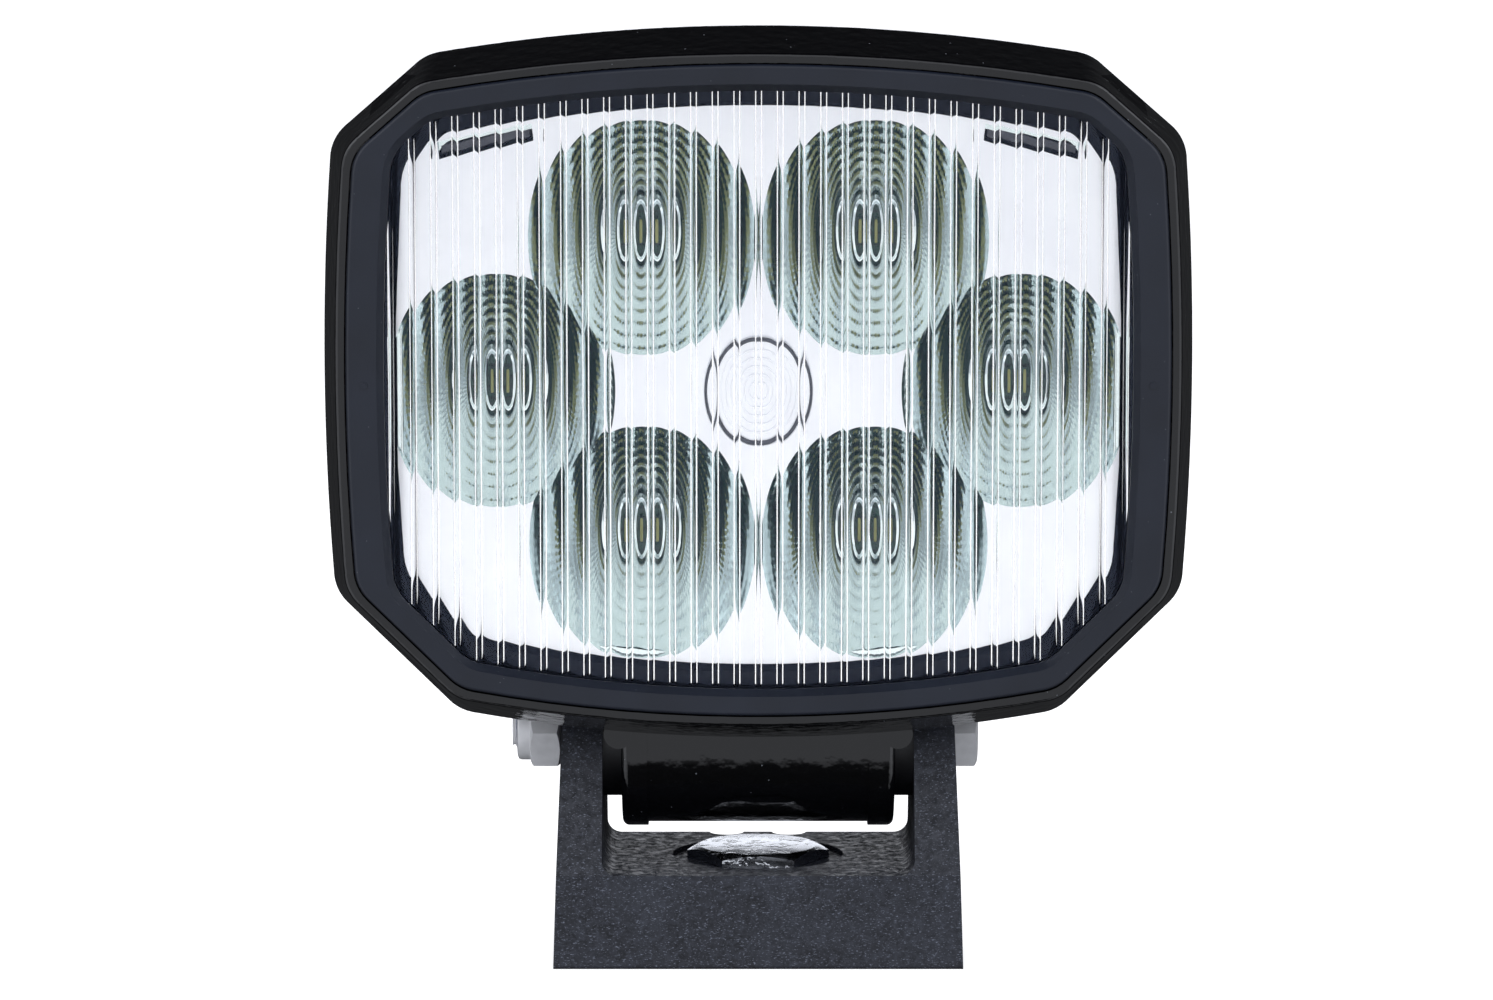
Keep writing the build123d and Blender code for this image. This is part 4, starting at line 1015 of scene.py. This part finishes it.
# ---------------------------------------------------------------- floor, light and camera
FLOOR_HALF = 60.0
FLOOR_GLOW = 0.80
FLOOR_CLOUD = 0.4               # size of the floor's faint clouds


def make_floor():
    """A large pale floor on the underside of the bracket."""
    mesh = bpy.data.meshes.new("floor")
    corners = [(a * FLOOR_HALF, b * FLOOR_HALF, 0.0) for a, b in CORNERS]
    mesh.from_pydata(corners, [], [(0, 1, 2, 3)])
    s = Shader("floor_white", Roughness=0.9, Emission_Color=(1, 1, 1, 1), Emission_Strength=FLOOR_GLOW)
    s.colour(s.colours(s.noise(FLOOR_CLOUD), (0.3, (0.80, 0.80, 0.81)), (0.7, (0.84, 0.84, 0.85))))
    mesh.materials.append(s.material)
    floor = bpy.data.objects.new("floor", mesh)
    bpy.context.scene.collection.objects.link(floor)
    floor.visible_glossy = False
    floor.visible_diffuse = False


# Soft boxes: brightness by degrees away from -Y, brightness by degrees of elevation, strength
SOFT_BOXES = {
    "sides": (
        [(0, 0.06), (14, 0.08), (22, 1), (70, 1), (84, 0.15), (110, 0.03), (180, 0.03)],
        [(-90, 0.35), (-50, 0.5), (-28, 0.95), (25, 1), (45, 0.3), (60, 0.03), (90, 0.03)],
        1.15,
    ),
    "low front": (
        [(0, 1), (13, 1), (18, 0), (180, 0)],
        [(-90, 0), (-38, 0), (-32, 1), (9, 1), (14, 0), (90, 0)],
        0.6,
    ),
    "over the front": (
        [(0, 1), (60, 1), (80, 0.1), (100, 0), (180, 0)],
        [(-90, 0), (12, 0), (20, 1), (50, 1), (62, 0), (90, 0)],
        1.0,
    ),
    "window behind": (
        [(0, 0), (167, 0), (171, 1), (180, 1)],
        [(-90, 0), (-4, 0), (1, 1), (13, 1), (19, 0), (90, 0)],
        1.3,
    ),
}


SOFT_TINT = (0.95, 0.965, 1.0)


def make_world():
    """Soft boxes that the object sees, and plain white behind it for the camera."""
    world = bpy.data.worlds.new("studio")
    bpy.context.scene.world = world
    world.use_nodes = True
    tree = world.node_tree
    tree.nodes.clear()

    def node(kind, **values):
        made = tree.nodes.new("ShaderNode" + kind)
        for key, value in values.items():
            setattr(made, key, value)
        return made

    def maths(operation, *values):
        made = node("Math", operation=operation)
        for socket, value in zip(made.inputs, values):
            if isinstance(value, (int, float)):
                socket.default_value = value
            else:
                tree.links.new(value, socket)
        return made.outputs[0]

    def levels(value, stops, turn):
        ramp = node("ValToRGB")
        elements = ramp.color_ramp.elements
        while len(elements) < len(stops):
            elements.new(0.5)
        for element, (degrees, level) in zip(elements, stops):
            element.position = turn(math.radians(degrees))
            element.color = (*[level * tint for tint in SOFT_TINT], 1)
        tree.links.new(value, ramp.inputs[0])
        return ramp.outputs[0]

    towards_sky = node("TexCoord")
    split = node("SeparateXYZ")
    tree.links.new(towards_sky.outputs["Generated"], split.inputs[0])
    x, y, z = split.outputs
    flat = maths("SQRT", maths("ADD", maths("MULTIPLY", x, x), maths("MULTIPLY", y, y)))
    towards = maths("DIVIDE", y, maths("MAXIMUM", flat, 0.001))
    around = maths("MULTIPLY_ADD", towards, 0.5, 0.5)
    height = maths("MULTIPLY_ADD", z, 0.5, 0.5)
    total = None
    for sideways, upward, strength in SOFT_BOXES.values():
        product = node("MixRGB", blend_type="MULTIPLY")
        product.inputs[0].default_value = 1
        tree.links.new(levels(around, sideways, lambda a: (1 - math.cos(a)) / 2), product.inputs[1])
        tree.links.new(levels(height, upward, lambda a: (1 + math.sin(a)) / 2), product.inputs[2])
        box = node("Background")
        box.inputs["Strength"].default_value = strength
        tree.links.new(product.outputs[0], box.inputs["Color"])
        if total is None:
            total = box.outputs[0]
        else:
            both = node("AddShader")
            tree.links.new(total, both.inputs[0])
            tree.links.new(box.outputs[0], both.inputs[1])
            total = both.outputs[0]
    seen = node("Background")
    seen.inputs["Color"].default_value = (1, 1, 1, 1)
    path = node("LightPath")
    mix = node("MixShader")
    tree.links.new(path.outputs["Is Camera Ray"], mix.inputs[0])
    tree.links.new(total, mix.inputs[1])
    tree.links.new(seen.outputs[0], mix.inputs[2])
    output = node("OutputWorld")
    tree.links.new(mix.outputs[0], output.inputs[0])


OVERHEAD_PLACE = Vector((0, 0.05, 1.3))
OVERHEAD_SIZE = 1.2
OVERHEAD_POWER = 9


def make_overhead():
    """A soft light above the object, aimed at its origin."""
    data = bpy.data.lights.new("overhead", "AREA")
    data.shape = "RECTANGLE"
    data.size = OVERHEAD_SIZE
    data.size_y = OVERHEAD_SIZE
    data.energy = OVERHEAD_POWER
    light = bpy.data.objects.new("overhead", data)
    light.location = OVERHEAD_PLACE
    light.rotation_mode = "QUATERNION"
    light.rotation_quaternion = (-OVERHEAD_PLACE).to_track_quat("-Z", "Y")
    light.visible_glossy = False
    bpy.context.scene.collection.objects.link(light)


CAMERA_PITCH = math.radians(6.5)
CAMERA_DISTANCE = 0.6825        # from the aim point on the bezel's front plane
CAMERA_AIM = (-1.59 * MM, 65.14 * MM)   # x and z of that point
CAMERA_AIM_BACK = 0.2 * MM      # that plane behind the bezel's foremost point
CAMERA_LENS = 124.4
CAMERA_SENSOR = 36


def make_camera():
    """The camera, level across and looking slightly down."""
    data = bpy.data.cameras.new("camera")
    data.sensor_width = CAMERA_SENSOR
    data.lens = CAMERA_LENS
    camera = bpy.data.objects.new("camera", data)
    aim = Vector((CAMERA_AIM[0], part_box("bezel")[0].y + CAMERA_AIM_BACK, CAMERA_AIM[1]))
    back = Vector((0, -math.cos(CAMERA_PITCH), math.sin(CAMERA_PITCH)))
    camera.location = aim + CAMERA_DISTANCE * back
    camera.rotation_euler = (math.pi / 2 - CAMERA_PITCH, 0, 0)
    bpy.context.scene.collection.objects.link(camera)
    bpy.context.scene.camera = camera


make_floor()
make_world()
make_overhead()
make_camera()
bpy.context.scene.view_settings.view_transform = "Standard"
